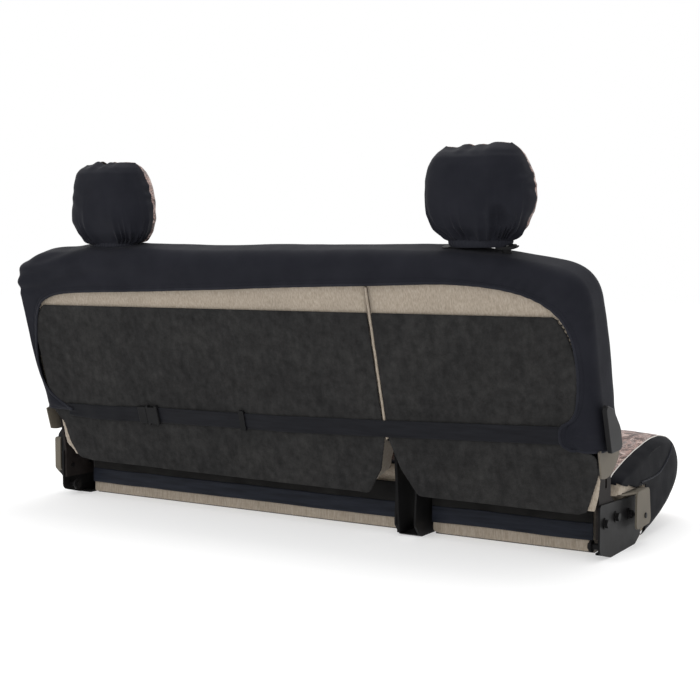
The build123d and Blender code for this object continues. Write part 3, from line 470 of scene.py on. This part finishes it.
# ================================================================ backrest cover
# Matching points, from the right foot over the top to the left foot: the cover's outline, the
# edge of its rear opening, and its front seam, each as (x, height up the backrest) in mm.
COVER_LINES = [
    [(-699, 122), (-642, 125), (-652, 122)],
    [(-699, 132), (-625, 132), (-650, 134)],
    [(-699, 150), (-622, 154), (-646, 152)],
    [(-700, 172), (-628, 174), (-644, 172)],
    [(-700, 192), (-646, 180), (-642, 190)],
    [(-700, 216), (-660, 202), (-641, 215)],
    [(-700, 245), (-668, 250), (-640, 245)],
    [(-700, 300), (-669, 300), (-640, 300)],
    [(-700, 365), (-662, 352), (-640, 350)],
    [(-698, 424), (-640, 392), (-640, 395)],
    [(-668, 462), (-590, 424), (-620, 430)],
    [(-600, 477), (-520, 440), (-570, 441)],
    [(-500, 494), (-440, 446), (-480, 442)],
    [(-400, 502), (-385, 446), (-390, 442)],
    [(-211, 503), (-211, 441), (-211, 442)],
    [(0, 503), (0, 434), (0, 442)],
    [(161, 503), (161, 428), (161, 442)],
    [(330, 508), (330, 422), (330, 442)],
    [(470, 508), (480, 419), (470, 444)],
    [(596, 502), (575, 414), (570, 444)],
    [(654, 492), (628, 396), (622, 436)],
    [(697, 470), (646, 372), (640, 410)],
    [(703, 420), (658, 348), (641, 385)],
    [(702, 350), (675, 290), (640, 340)],
    [(700, 280), (684, 240), (640, 280)],
    [(700, 220), (682, 196), (640, 220)],
    [(699, 160), (655, 150), (646, 160)],
    [(699, 126), (602, 128), (652, 126)],
]
REAR_ROUND, FRONT_ROUND = 30.0, 42.0


def cover_depth(s):
    """Depth of the cover's front face at a height: the stuffing fills it out in the middle."""
    return 107.8 + 10 * bump(s, 255, 135)


def cover_lines(count):
    """The three matching lines as arrays of count points."""
    flat = np.array(COVER_LINES, float).reshape(len(COVER_LINES), 6)
    return np.split(resample(chaikin(flat, 4), count), 3, axis=1)


def edge_depth(d, radius):
    """How far a rounded edge has dropped at distance d in from the outline."""
    inside = np.clip(radius - d, 0, radius)
    return radius - np.sqrt(np.maximum(radius**2 - inside**2, 0))


def cover_wrap_points(rows=760, cols=120):
    """Grid of the black wrap: along its outline, and from the opening round to the front."""
    outer, opening, front = cover_lines(rows)
    grid = np.zeros((rows, cols, 3))
    local = np.zeros((rows, cols, 2))
    for i in range(rows):
        rear_way, front_way = opening[i] - outer[i], front[i] - outer[i]
        rear_far, front_far = np.linalg.norm(rear_way), np.linalg.norm(front_way)
        d = np.concatenate([
            np.linspace(rear_far, REAR_ROUND, 40) if rear_far > REAR_ROUND else [rear_far],
            REAR_ROUND * (1 - np.sin(np.linspace(0, math.pi / 2, 14))),
            np.zeros(12),
            FRONT_ROUND * (1 - np.cos(np.linspace(0, math.pi / 2, 16))),
            np.linspace(FRONT_ROUND, max(front_far, FRONT_ROUND + 1), 10),
        ])
        deep = cover_depth(outer[i, 1])
        n = np.concatenate([
            edge_depth(d[: len(d) - 38], REAR_ROUND),
            np.linspace(REAR_ROUND, deep - FRONT_ROUND, 12),
            deep - edge_depth(d[-26:], FRONT_ROUND),
        ])
        if rear_far <= REAR_ROUND:
            keep = np.concatenate([[True], d[1:] < rear_far])
            keep[-38:] = True
            d, n = d[keep], n[keep]
            n[0] = edge_depth(rear_far, REAR_ROUND)
        is_front = np.arange(len(d)) >= len(d) - 32
        way = np.where(is_front[:, None], front_way / front_far, rear_way / rear_far)
        xs = outer[i] + way * d[:, None]
        section = resample(np.column_stack([xs, n]), cols)
        section[:, 1] -= 0.2 * np.clip(section[:, 2], 0, 80) * step(200, 124, section[:, 1])
        grid[i] = back(section[:, 0], section[:, 1], section[:, 2])
        local[i] = section[:, :2]
    return grid, local


def cover_folds(grid, local):
    """Pushes the wrap in and out along its normals, in mm: folds, hem channel and slack."""
    rows, cols = grid.shape[:2]
    x, s = local[..., 0], local[..., 1]
    out = waves(grid / MM, 3, 150) * 0.9 + waves(grid / MM, 4, 55) * 0.25
    from_edge = np.cumsum(np.linalg.norm(np.diff(grid, axis=1, prepend=grid[:, :1]), axis=-1), axis=1) / MM
    run = np.cumsum(np.linalg.norm(np.diff(grid[:, 0], axis=0, prepend=grid[:1, 0]), axis=-1)) / MM
    run = np.broadcast_to(run[:, None], (rows, cols))
    out += 0.9 * step(11, 8, from_edge) - 0.9 * bump(from_edge, 10.5, 1.6)
    pucker = np.sin(run / 4.6 + 2.2 * np.sin(run / 37)) * (0.6 + 0.4 * np.sin(run / 61))
    out += 0.45 * pucker * step(24, 3, from_edge)
    # tension folds that run along the band at the upper left corner
    corner = step(330, 520, x) * step(395, 425, s)
    out += 2.3 * corner * np.sin(s / 5.2 + x / 38 + 1.4 * np.sin(x / 44)) * step(2, 26, from_edge)
    # fine slanting wrinkles across the hem at the upper right corner
    slant = step(-470, -540, x) * step(330, 400, s) * step(75, 20, from_edge)
    out += 0.9 * slant * np.sin((x * 0.8 + s) / 4.1 + 1.5 * np.sin(x / 23))
    # upright folds down the right edge, and folds drawn into the strap at both feet
    right = step(-560, -640, x) * step(330, 200, s)
    out += 1.2 * right * (1 + np.sin(x / 7.5 + s / 60)) * step(4, 30, from_edge)
    for foot_x, foot_s, sign, pull in ((598, 128, 1, 3.0), (-626, 152, -1, 1.6)):
        dx, ds = sign * (x - foot_x), s - foot_s
        reach = np.hypot(dx, ds)
        angle = np.arctan2(ds, dx)
        out += pull * np.sin(angle * 11) * bump(reach, 44, 30) * step(10, 26, reach)
        out += 4.2 * bump(reach, 0, 46)
    # slight humps over the headrest guides
    for head_x in HEADS.values():
        over = step(480, 500, s)
        out += 1.5 * over * (bump(x, head_x - 55, 26) + bump(x, head_x + 55, 26))
    return out


wrap_grid, wrap_local = cover_wrap_points()
wrap_normal = grid_normals(wrap_grid)
centre = back(0, 260, 52)
if np.mean(np.sum(wrap_normal * (wrap_grid - centre), axis=-1)) < 0:
    wrap_normal = -wrap_normal
wrap_grid = wrap_grid + wrap_normal * cover_folds(wrap_grid, wrap_local)[..., None] * MM
wrap = sheet_mesh("cover_wrap", wrap_grid, M["cloth"], thick=1.6)
done(wrap, "backrest_left", "back_cover_wrap", slot="black_cloth")

hem_line = np.vstack([wrap_grid[0, ::-1][30:], wrap_grid[:, 0], wrap_grid[-1, :90]])
hem_line = resample(hem_line, 1500)
hem_line = hem_line + np.array([0, COS, -SIN]) * 0.3 * MM
hem = tube("cover_hem", hem_line, 2.0 * MM, M["hem"], flat=1.5, up=np.array([0, -COS, SIN]))
done(hem, "backrest_left", "back_cover_hem", slot="hem_elastic")

# printed front panel
cols_x = np.linspace(-668, 668, 260)
rows_s = np.concatenate([np.linspace(22, 160, 40), np.linspace(164, 446, 90)])
X, S = np.meshgrid(cols_x, rows_s, indexing="ij")
narrow = np.where(S > 400, 1 - 0.03 * step(400, 446, S), 1.0)
front_points = back(X * narrow * np.where(S > 150, 0.965, 0.985), S, cover_depth(S) - 1.2)
puff = 3.2 * np.sqrt(np.clip(1 - (X / 668) ** 4, 0, 1)) * np.sqrt(np.clip(1 - ((S - 240) / 225) ** 4, 0, 1))
puff = puff - 3.0 * bump(X, SPLIT_X, 7) + waves(front_points / MM, 8, 120) * 0.8
front_points = front_points + np.array([0, -COS, SIN]) * puff[..., None] * MM
front = sheet_mesh("cover_front", front_points, M["print"], thick=1.6)
slot_cut = bmesh.new()
slot_cut.from_mesh(front.data)
gone = []
for face in slot_cut.faces:
    c = face.calc_center_median()
    s_here = (c.y / MM - FOOT_Y) * SIN + (c.z / MM - FOOT_Z) * COS
    if s_here < 158 and abs(c.x / MM - SPLIT_X) < 21:
        gone.append(face)
bmesh.ops.delete(slot_cut, geom=gone, context="FACES")
slot_cut.to_mesh(front.data)
slot_cut.free()
done(front, "backrest_left", "back_cover_front", slot="printed_cloth")

# ================================================================ upholstery of the halves
def half_points(side):
    """Outline of one backrest half in (x, s), from the split edge round."""
    sign = 1 if side == "left" else -1
    edge = SPLIT_X + 2 * sign
    shoulder = {
        "left": [(520, 492), (656, 476), (686, 428)],
        "right": [(424, 492), (636, 458), (686, 410)],
    }[side]
    return [
        (edge, 150), (edge, 492), *[(sign * x, s) for x, s in shoulder],
        (sign * 686, 252), (sign * 660, 250), (sign * 660, 30), (sign * 634, 1), (edge + sign * 56, 1),
    ]


def half_solid(side):
    """One half as a closed prism, remeshed and rounded like stuffed cloth."""
    outline = np.array(half_points(side), float)
    count = len(outline)
    rear = back(outline[:, 0], outline[:, 1], 5.5)
    fore = back(outline[:, 0], outline[:, 1], 101.5)
    faces = [tuple(range(count)), tuple(range(2 * count - 1, count - 1, -1))]
    faces += [(i, i + count, (i + 1) % count + count, (i + 1) % count) for i in range(count)]
    obj = add_mesh(f"upholstery_{side}", np.vstack([rear, fore]), faces, M["beige"])
    soften(obj, 0.007, 6)
    return under_cover(obj)


def under_cover(obj):
    """Rounds the edges of a stuffed half so that it lies inside the cover."""
    count = len(obj.data.vertices)
    flat = np.empty(count * 3)
    obj.data.vertices.foreach_get("co", flat)
    p = flat.reshape(-1, 3) / MM
    dy, dz = p[:, 1] - FOOT_Y, p[:, 2] - FOOT_Z
    x, s, n = p[:, 0], dy * SIN + dz * COS, dz * SIN - dy * COS
    top = np.where(x < 0, np.interp(-x, [0, 424, 636, 686], [494, 494, 460, 412]),
                   np.interp(x, [0, 520, 656, 688], [494, 494, 478, 430]))
    d = np.minimum(top - s, np.where(s > 250, 690 - np.abs(x), 200))
    n = np.clip(n, edge_depth(d, 34) + 1.5, 103 - edge_depth(d, 46))
    obj.data.vertices.foreach_set("co", back(x, s, n).ravel())
    obj.data.update()
    return obj


def soften(obj, voxel, rounds):
    """Voxel remesh and smoothing, applied."""
    remesh = obj.modifiers.new("remesh", "REMESH")
    remesh.mode = "VOXEL"
    remesh.voxel_size = voxel
    relax = obj.modifiers.new("relax", "SMOOTH")
    relax.iterations = rounds
    relax.factor = 0.6
    depsgraph = bpy.context.evaluated_depsgraph_get()
    mesh = bpy.data.meshes.new_from_object(obj.evaluated_get(depsgraph))
    material = obj.data.materials[0]
    obj.modifiers.clear()
    obj.data = mesh
    obj.data.materials.clear()
    obj.data.materials.append(material)
    obj.data.shade_smooth()


for half in BOTH:
    stuffed = half_solid(half)
    done(stuffed, f"backrest_{half}", f"back_upholstery_{half}", f"back_foam_{half}", slot="beige_cloth")

    # carpeted board, with the fibres' uneven surface and a rounded edge
    board = NODES[f"back_carpet_{half}"]
    carpet = bpy.data.objects.new(f"carpet_{half}", board.data.copy())
    bpy.context.scene.collection.objects.link(carpet)
    carpet.data.materials.clear()
    carpet.data.materials.append(M["carpet"])
    soften(carpet, 0.0022, 2)
    done(carpet, f"backrest_{half}", f"back_carpet_{half}", slot="carpet")

flap_line = [(-640, 0), (-674, -1), (-684, 30), (-690, 60), (-690, 74), (-640, 74)]
flap_x, flap_s = np.array(flap_line, float).T
flap_points = np.vstack([back(flap_x, flap_s, 4.2), back(flap_x, flap_s, 9)])
ring = len(flap_line)
flap_faces = [tuple(range(ring)), tuple(range(2 * ring - 1, ring - 1, -1))]
flap_faces += [(i, i + ring, (i + 1) % ring + ring, (i + 1) % ring) for i in range(ring)]
flap = add_mesh("foot_flap", flap_points, flap_faces, M["beige"])
soften(flap, 0.0015, 4)
done(flap, "backrest_right", slot="beige_cloth")

seam_line = back(-246.4, np.linspace(116, 436, 160), 0.6 - 0.4 * np.cos(np.linspace(0, 40, 160)))
piping = tube("split_piping_cord", seam_line, 2.4 * MM, M["beige"])
done(piping, "backrest_right", "split_piping", slot="beige_cloth")

# ================================================================ rear strap
def strap_s(x):
    return np.where(x > 0, 134 - 8 * x / 600, 134 + 19 * -x / 625)


def strap_grid(x_from, x_to, half, n, sag=0.0, twist=0.0):
    """Flat webbing between two places along the strap line."""
    x = np.linspace(x_from, x_to, 200)
    v = np.linspace(-1, 1, 13)
    X, V = np.meshgrid(x, v, indexing="ij")
    t = (X - x_from) / (x_to - x_from)
    s = strap_s(X) + V * half * (1 - 0.12 * twist * bump(t, 0, 0.15)) - sag * np.sin(t * math.pi)
    lift = n - 0.5 * np.sin(t * 23) - 0.7 * V * np.sin(t * 9) - 1.2 * twist * bump(t, 0, 0.1) * np.cos(V * 9)
    return back(X, s, lift)


web_left = sheet_mesh("strap_left", strap_grid(616, 372, 17.5, -2.6, 3, 1), M["webbing"], thick=1.6)
done(web_left, "backrest_left", "strap_webbing_left", slot="satin_band")
web_right = sheet_mesh("strap_right", strap_grid(-640, 352, 18, -2.6, 2), M["band"], thick=1.6)
done(web_right, "backrest_left", "strap_webbing_right", slot="satin_band")

# ================================================================ cushions
PROFILE = [
    (112, 2.5), (128, 2.5), (128.5, 4), (128.5, 60), (127, 106), (104, 122), (101, 146), (60, 160),
    (-60, 184), (-150, 196), (-230, 195), (-290, 185), (-335, 160), (-354, 134), (-352, 106),
    (-324, 78), (-240, 44), (-150, 18), (-80, 4), (-40, 3),
]
INNER = {"left": -225.0, "right": -292.0}
SEAM_IN, SEAM_OUT = 14.0, 22.0  # seams of the printed panel, from the inner and outer sides
END_ROUND, INNER_ROUND = 36, 22  # rounding of the outer and inner ends
CORNER = 100  # plan radius of the outer front corner
CAP_ROWS = 25  # rows that draw each end to a point


def cushion_places(length):
    """Distances from the inner side: closer at both ends, and one on each seam."""
    return np.concatenate([
        np.linspace(0, SEAM_IN, 10), np.linspace(SEAM_IN, 70, 16)[1:],
        np.linspace(70, length - 90, 90)[1:], np.linspace(length - 90, length - SEAM_OUT, 20)[1:],
        np.linspace(length - SEAM_OUT, length, 18)[1:],
    ])


def cushion_grid(side, grow, around=260):
    """Closed skin of one cushion: rings across the seat, then both ends drawn to a point."""
    sign = 1 if side == "left" else -1
    inner, outer = INNER[side], sign * 686.0
    profile = chaikin(PROFILE, 2, True)
    profile = resample(np.vstack([profile, profile[:1]]), around + 1)[:-1]
    middle = np.array([-90.0, 95.0])
    length = abs(outer - inner)
    rings = []
    for from_in in cushion_places(length):
        from_out = length - from_in
        out_way = 1 if from_out < length / 2 else -1
        x = inner + sign * from_in + sign * out_way * grow * step(60, 0, min(from_in, from_out))
        round_out, round_in = max(0, END_ROUND - from_out), max(0, INNER_ROUND - from_in)
        inset = END_ROUND - math.sqrt(max(END_ROUND**2 - round_out**2, 0))
        inset = inset + (INNER_ROUND - math.sqrt(max(INNER_ROUND**2 - round_in**2, 0)))
        plan = max(0, CORNER - from_out)
        nose = CORNER - math.sqrt(max(CORNER**2 - plan**2, 0))
        away = profile - middle
        away /= np.linalg.norm(away, axis=1, keepdims=True)
        y = profile[:, 0] + away[:, 0] * (grow - inset * 0.75 * step(120, 60, profile[:, 0]))
        z = profile[:, 1] + away[:, 1] * (grow - inset * 0.75)
        y = y + np.clip((60 - y) / 420, 0, 1) * nose
        rings.append(np.column_stack([np.full(around, x), y, z]))
    rings = np.array(rings)
    shrink = np.cos(np.linspace(0, math.pi / 2, CAP_ROWS + 1))[1:, None, None]
    caps = []
    for ring, way in ((rings[0], -sign), (rings[-1], sign)):
        cap = ring.mean(axis=0) + (ring - ring.mean(axis=0)) * shrink
        cap[..., 0] += way * 4.0 * (1 - shrink[..., 0] ** 2) * step(100, 130, cap[..., 2])
        caps.append(cap)
    p = np.concatenate([caps[0][::-1], rings, caps[1]])
    low = (p[..., 1] > -44) & (p[..., 2] < 114)
    p[..., 0] = np.where(low, np.clip(p[..., 0], -646 - grow, 646 + grow), p[..., 0])
    p[..., 2] = np.maximum(p[..., 2], 2.2)
    return p * MM


def on_surface(obj, points, lift):
    """Each point moved to the nearest place on a piece, and lift mm off it."""
    tree = BVHTree.FromPolygons([v.co for v in obj.data.vertices],
                                [tuple(f.vertices) for f in obj.data.polygons])
    found = [tree.find_nearest(Vector(q)) for q in points]
    return np.array([near + normal * lift * MM for near, normal, _, _ in found])


def drop_loose(obj):
    """Deletes points that no face uses."""
    loose = bmesh.new()
    loose.from_mesh(obj.data)
    bmesh.ops.delete(loose, geom=[v for v in loose.verts if not v.link_faces], context="VERTS")
    loose.to_mesh(obj.data)
    loose.free()


def rear_band(name, half, low, high, y, thick, look, ripple):
    """Cloth band across the rear of one cushion between two heights, in mm."""
    sign = 1 if half == "left" else -1
    across = np.linspace(INNER[half] + sign, sign * 645, 220)
    X, Z = np.meshgrid(across, np.linspace(low, high, 14), indexing="ij")
    flat_points = np.stack([X, np.full_like(X, y), Z], axis=-1)
    edge = step(0, 5, np.minimum(Z - low, high - Z))
    flat_points[..., 1] += waves(flat_points, 31, 70) * ripple * edge + 0.5 * edge
    flat_points[..., 2] += waves(flat_points, 32, 160) * 0.7
    return sheet_mesh(f"{name}_{half}", flat_points * MM, M[look], thick=thick)


for half in BOTH:
    sign = 1 if half == "left" else -1
    skin = cushion_grid(half, -1.0)
    rows, cols = skin.shape[:2]
    seat_cloth = add_mesh(f"cushion_cloth_{half}", skin.reshape(-1, 3),
                          grid_faces(rows, cols, False, True), M["beige"])
    done(seat_cloth, "seat_base", f"cushion_upholstery_{half}", f"cushion_foam_{half}", slot="beige_cloth")

    cover = cushion_grid(half, 2.6)
    normal = grid_normals(cover)
    middle = np.array([(INNER[half] + sign * 686) / 2, -90, 95]) * MM
    if np.mean(np.sum(normal * (cover - middle), axis=-1)) < 0:
        normal = -normal
    slack = waves(cover / MM, 12, 130) * 1.2 + waves(cover / MM, 13, 45) * 0.4
    cover = cover + normal * slack[..., None] * MM
    rows, cols = cover.shape[:2]
    quads = grid_faces(rows, cols, False, True)
    mid = cover.reshape(-1, 3)[quads].mean(axis=1) / MM
    row_of = quads.min(axis=1) // cols
    first = CAP_ROWS + 9
    last = rows - 1 - CAP_ROWS - 17
    between = (row_of >= first) & (row_of < last)
    top = between & ((mid[:, 2] > 130) | ((mid[:, 1] < -280) & (mid[:, 2] > 62))) & (mid[:, 1] < 100)
    hem_z = np.where(mid[:, 1] > -46, np.interp(mid[:, 1], [-46, 20, 100, 130], [116, 118, 136, 138]), 10)
    front_low = (mid[:, 1] < -60) & (mid[:, 2] < 90) & (row_of > CAP_ROWS + 20) & (row_of < rows - 60)
    skirt = (mid[:, 2] > hem_z) & (mid[:, 1] < 106) & ~top & ~front_low
    made = {}
    for name, chosen, look, slot_name, node in (
        ("cushion_top", top, "print", "printed_cloth", "cushion_cover_top"),
        # the skirt is the black cover cloth in its darker copy: painted shade on the cushion sides
        ("cushion_skirt", skirt, "skirt", "black_cloth", "cushion_cover_skirt"),
    ):
        piece = add_mesh(f"{name}_{half}", cover.reshape(-1, 3), quads[chosen], M[look])
        drop_loose(piece)
        made[name] = piece
        solid = piece.modifiers.new("thickness", "SOLIDIFY")
        solid.thickness = 1.6 * MM
        solid.offset = -1
        done(piece, "seat_base", f"{node}_{half}", slot=slot_name)

    # light stitching along the outer seam, and a corded seam across the side
    seam = cover[last]
    seam = seam[(seam[:, 2] > 0.132) & (seam[:, 1] < 0.100)]
    seam = seam[np.argsort(-seam[:, 1])]
    stitches = tube(f"cushion_stitching_{half}", on_surface(made["cushion_skirt"], resample(seam, 400), 0.5),
                    1.1 * MM, M["thread"], flat=0.8)
    done(stitches, "seat_base", slot="printed_cloth")
    side_line = chaikin([(-8, 123), (-60, 122), (-123, 126), (-184, 146), (-222, 172), (-236, 188)], 4)
    side_line = resample(side_line, 160)
    guide = np.column_stack([np.full(160, sign * 705.0), side_line]) * MM
    cord_line = on_surface(made["cushion_skirt"], guide, 0.6)
    corded = tube(f"cushion_corded_seam_{half}", cord_line, 1.7 * MM, M["hem"], flat=1.3)
    done(corded, "seat_base", slot="black_cloth")

    for name, low, high, y, thick, look, ripple, slot_name in (
        ("cushion_hem_band", 27, 61, 131.6, 2.6, "gloss", 0.35, "satin_band"),
        ("cushion_flap", 60, 103, 131.0, 1.6, "felt", 0.9, "felt"),
    ):
        band = rear_band(name, half, low, high, y, thick, look, ripple)
        node = "cushion_hem_bands" if name == "cushion_hem_band" else "cushion_rear_flaps"
        done(band, "seat_base", node, slot=slot_name)

# ================================================================ headrests
def head_sizes(side, h):
    """Half width and half depth of a covered headrest at height h from 0 to 1."""
    at = [0, 0.05, 0.15, 0.3, 0.5, 0.65, 0.8, 0.89, 0.95, 1.0]
    wide = {
        "right": [63, 73, 91, 103, 106, 105, 96, 89, 80, 66],
        "left": [66, 84, 98, 106, 103, 98, 91, 86, 80, 70],
    }[side]
    deep = [24, 31, 44, 54, 57, 55, 50, 43, 30, 6]
    return np.interp(h, at, wide), np.interp(h, at, deep)


def smooth_rows(p, rounds):
    for _ in range(rounds):
        p[1:-1] = (p[:-2] + 2 * p[1:-1] + p[2:]) / 4
    return p


def head_ring(side, H, T):
    """Plain covered headrest: points across, up and to the rear at height H and angle T."""
    wide, deep = head_sizes(side, H[:, 0])
    wide, deep = smooth_rows(wide, 6), smooth_rows(deep, 6)
    power = 2 / 2.7
    a = wide[:, None] * np.sign(np.sin(T)) * np.abs(np.sin(T)) ** power
    c = deep[:, None] * np.sign(np.cos(T)) * np.abs(np.cos(T)) ** power
    b = H * 178.0 - 9 * (np.abs(a) / 106) ** 3 * step(0.75, 1, H)
    return a, b, c


def head_panel(side, front, rows=150, cols=300):
    """One panel of a gathered headrest cover, from the mouth up to the seam on top."""
    h = 1 - (1 - np.linspace(0, 1, rows)) ** 1.1
    limit = math.radians(96)
    theta = np.linspace(limit, 2 * math.pi - limit, cols) if front else np.linspace(-limit, limit, cols)
    H, T = np.meshgrid(h, theta, indexing="ij")
    a, b, c = head_ring(side, H, T)
    seed = {"left": 21, "right": 22}[side]
    ring = np.stack([np.cos(T), np.sin(T)], axis=-1)
    # gathers rise from the elastic, each with its own length and lean
    phase = 12 * T + waves(ring, seed, 1.1) * 3.2 + 0.9 * H
    reach = 0.17 + 0.07 * waves(ring, seed + 1, 0.9)
    fade = np.exp(-((H / np.maximum(reach, 0.08)) ** 2))
    pleat = 1 - 2 * np.abs(np.sin(phase)) ** 0.75
    out = 4.4 * pleat * fade * step(0, 0.05, H)
    long_phase = 5 * T + waves(ring, seed + 5, 1.0) * 2.0
    out += 1.8 * (1 - 2 * np.abs(np.sin(long_phase))) * np.exp(-((H / 0.42) ** 2)) * step(0, 0.1, H)
    shape = np.stack([a, b, c], axis=-1)
    out += waves(shape, seed + 2, 95) * 1.8 + waves(shape, seed + 3, 40) * 0.45
    # the side seams and the seam on top are drawn up in uneven ruffles
    turn = np.abs(((T + math.pi) % (2 * math.pi)) - math.pi)
    by_seam = step(0.30, 0.0, np.abs(turn - limit))
    ruffle = np.sin(b / 5.6 + seed + 2.4 * np.sin(b / 17))
    out += 1.5 * by_seam * ruffle * step(0.10, 0.35, H)
    out += 2.6 * step(0.9, 1.0, H) * np.sin(a / 9 + seed + 2.4 * np.sin(a / 26))
    b = b + step(0.88, 1.0, H) * (1.8 * np.sin(a / 11 + seed * 1.7 + 2.2 * np.sin(a / 34)) + 1.2)
    if not front:
        # slanting drag lines run up to the side seam nearer the door
        drag = np.sin((b * 0.9 - 0.5 * np.abs(a)) / 6.0 + 1.6 * np.sin(b / 19))
        out += 1.3 * drag * step(40, 82, -a if side == "right" else a) * bump(b, 88, 42)
    if side == "right" and not front:
        # one deep fold turns over beside the outer post
        cx, cy = (a + 62) / 17, (b - 40) / 27
        ridge = np.hypot(cx, cy)
        out += 6.5 * np.exp(-((ridge - 1.25) ** 2) / 0.16) * step(-0.9, 0.4, cy)
        out -= 8.0 * np.exp(-(ridge**2) / 0.55)
        out += 4.5 * bump(a, -78, 9) * bump(b, 22, 22)
        out -= 3.5 * bump(a, -47 - 0.25 * (b - 20), 5) * bump(b, 24, 20)
    points = head(side, a, b, c)
    normal = grid_normals(points)
    if np.mean(np.sum(normal * (points - head(side, 0, 90, 0)), axis=-1)) < 0:
        normal = -normal
    return points + normal * out[..., None] * MM


def head_stuffing(side):
    """Foam inside a headrest cover, closed at the bottom and on top."""
    h = np.linspace(0.0, 1.0, 60)
    H, T = np.meshgrid(h, np.linspace(0, 2 * math.pi, 120, endpoint=False), indexing="ij")
    a, b, c = head_ring(side, H, T)
    body = head(side, a * 0.86, 10 + b * 0.9, c * 0.76)
    close = np.linspace(0.85, 0.02, 8)[:, None, None]
    low = body[0].mean(axis=0) + (body[0] - body[0].mean(axis=0)) * close
    high = body[-1].mean(axis=0) + (body[-1] - body[-1].mean(axis=0)) * close
    return np.concatenate([low[::-1], body, high])


for half in BOTH:
    body = f"headrest_{half}"
    stuffing = head_stuffing(half)
    foam = add_mesh(f"headrest_stuffing_{half}", stuffing.reshape(-1, 3),
                    grid_faces(*stuffing.shape[:2], False, True), M["foam"])
    done(foam, body, f"headrest_foam_{half}", slot="foam")
    rear_points = head_panel(half, False)
    front_points = head_panel(half, True)
    front_points[:, 0], front_points[:, -1] = rear_points[:, -1], rear_points[:, 0]
    rear_panel = sheet_mesh(f"headrest_rear_{half}", rear_points, M["cloth"], thick=1.2)
    front_panel = sheet_mesh(f"headrest_front_{half}", front_points, M["print"], thick=1.2)
    done(rear_panel, body, f"headrest_cover_rear_{half}", slot="black_cloth")
    done(front_panel, body, f"headrest_cover_front_{half}", slot="printed_cloth")

    # elastic channel at the mouth, gathered in small even tucks
    angle = np.linspace(0, 2 * math.pi, 300, endpoint=False)
    level = np.linspace(0, 1, 12)
    A, L = np.meshgrid(angle, level, indexing="ij")
    grow = 1.5 * np.abs(np.sin(A * 27 + np.sin(A * 5) * 2)) * step(1, 0.3, L) + 1.5 * np.sin(L * math.pi)
    a = (62 + grow - 2 * L) * np.sign(np.sin(A)) * np.abs(np.sin(A)) ** 0.74
    c = (23 + grow) * np.sign(np.cos(A)) * np.abs(np.cos(A)) ** 0.74
    mouth = sheet_mesh(f"headrest_mouth_{half}", head(half, a, 4 - 15 * L, c), M["hem"], 1.4, True)
    done(mouth, body, f"headrest_elastic_{half}", slot="hem_elastic")

# ================================================================ floor, light and camera
sweep = new_material("floor", (0.62, 0.62, 0.62), 1.0, specular=0.0)
glow = sweep.node_tree.nodes["Principled BSDF"]
glow.inputs["Emission Color"].default_value = (1, 1, 1, 1)
glow.inputs["Emission Strength"].default_value = 0.42
floor = add_mesh("floor", [(-14, -14, 0), (14, -14, 0), (14, 14, 0), (-14, 14, 0)], [(0, 1, 2, 3)],
                 sweep, smooth=False)
world = bpy.data.worlds.new("studio")
bpy.context.scene.world = world
world.use_nodes = True
world.node_tree.nodes["Background"].inputs["Color"].default_value = (1, 1, 1, 1)
world.node_tree.nodes["Background"].inputs["Strength"].default_value = 1.0
bpy.context.scene.view_settings.view_transform = "Standard"


def area_light(name, place_at, aim, size, power):
    data = bpy.data.lights.new(name, "AREA")
    data.shape = "RECTANGLE"
    data.size, data.size_y = size
    data.energy = power
    lamp = bpy.data.objects.new(name, data)
    bpy.context.scene.collection.objects.link(lamp)
    lamp.location = place_at
    lamp.rotation_euler = (Vector(aim) - Vector(place_at)).to_track_quat("-Z", "Y").to_euler()


area_light("key", (1.6, 3.4, 3.2), (0, 0.2, 0.35), (2.8, 1.6), 30)
area_light("fill", (-1.4, 4.2, 1.4), (0, 0.2, 0.35), (2.2, 2.2), 8)
area_light("over", (0, -0.6, 3.4), (0, 0.1, 0.4), (3.0, 1.6), 45)

camera_data = bpy.data.cameras.new("camera")
camera_data.lens = 66.2
camera_data.sensor_width = 36
camera = bpy.data.objects.new("camera", camera_data)
bpy.context.scene.collection.objects.link(camera)
camera.location = (-1.5257, 2.4837, 0.5712)
camera.rotation_euler = (math.radians(90 - 4.02), 0, math.radians(180 + 31.36))
bpy.context.scene.camera = camera
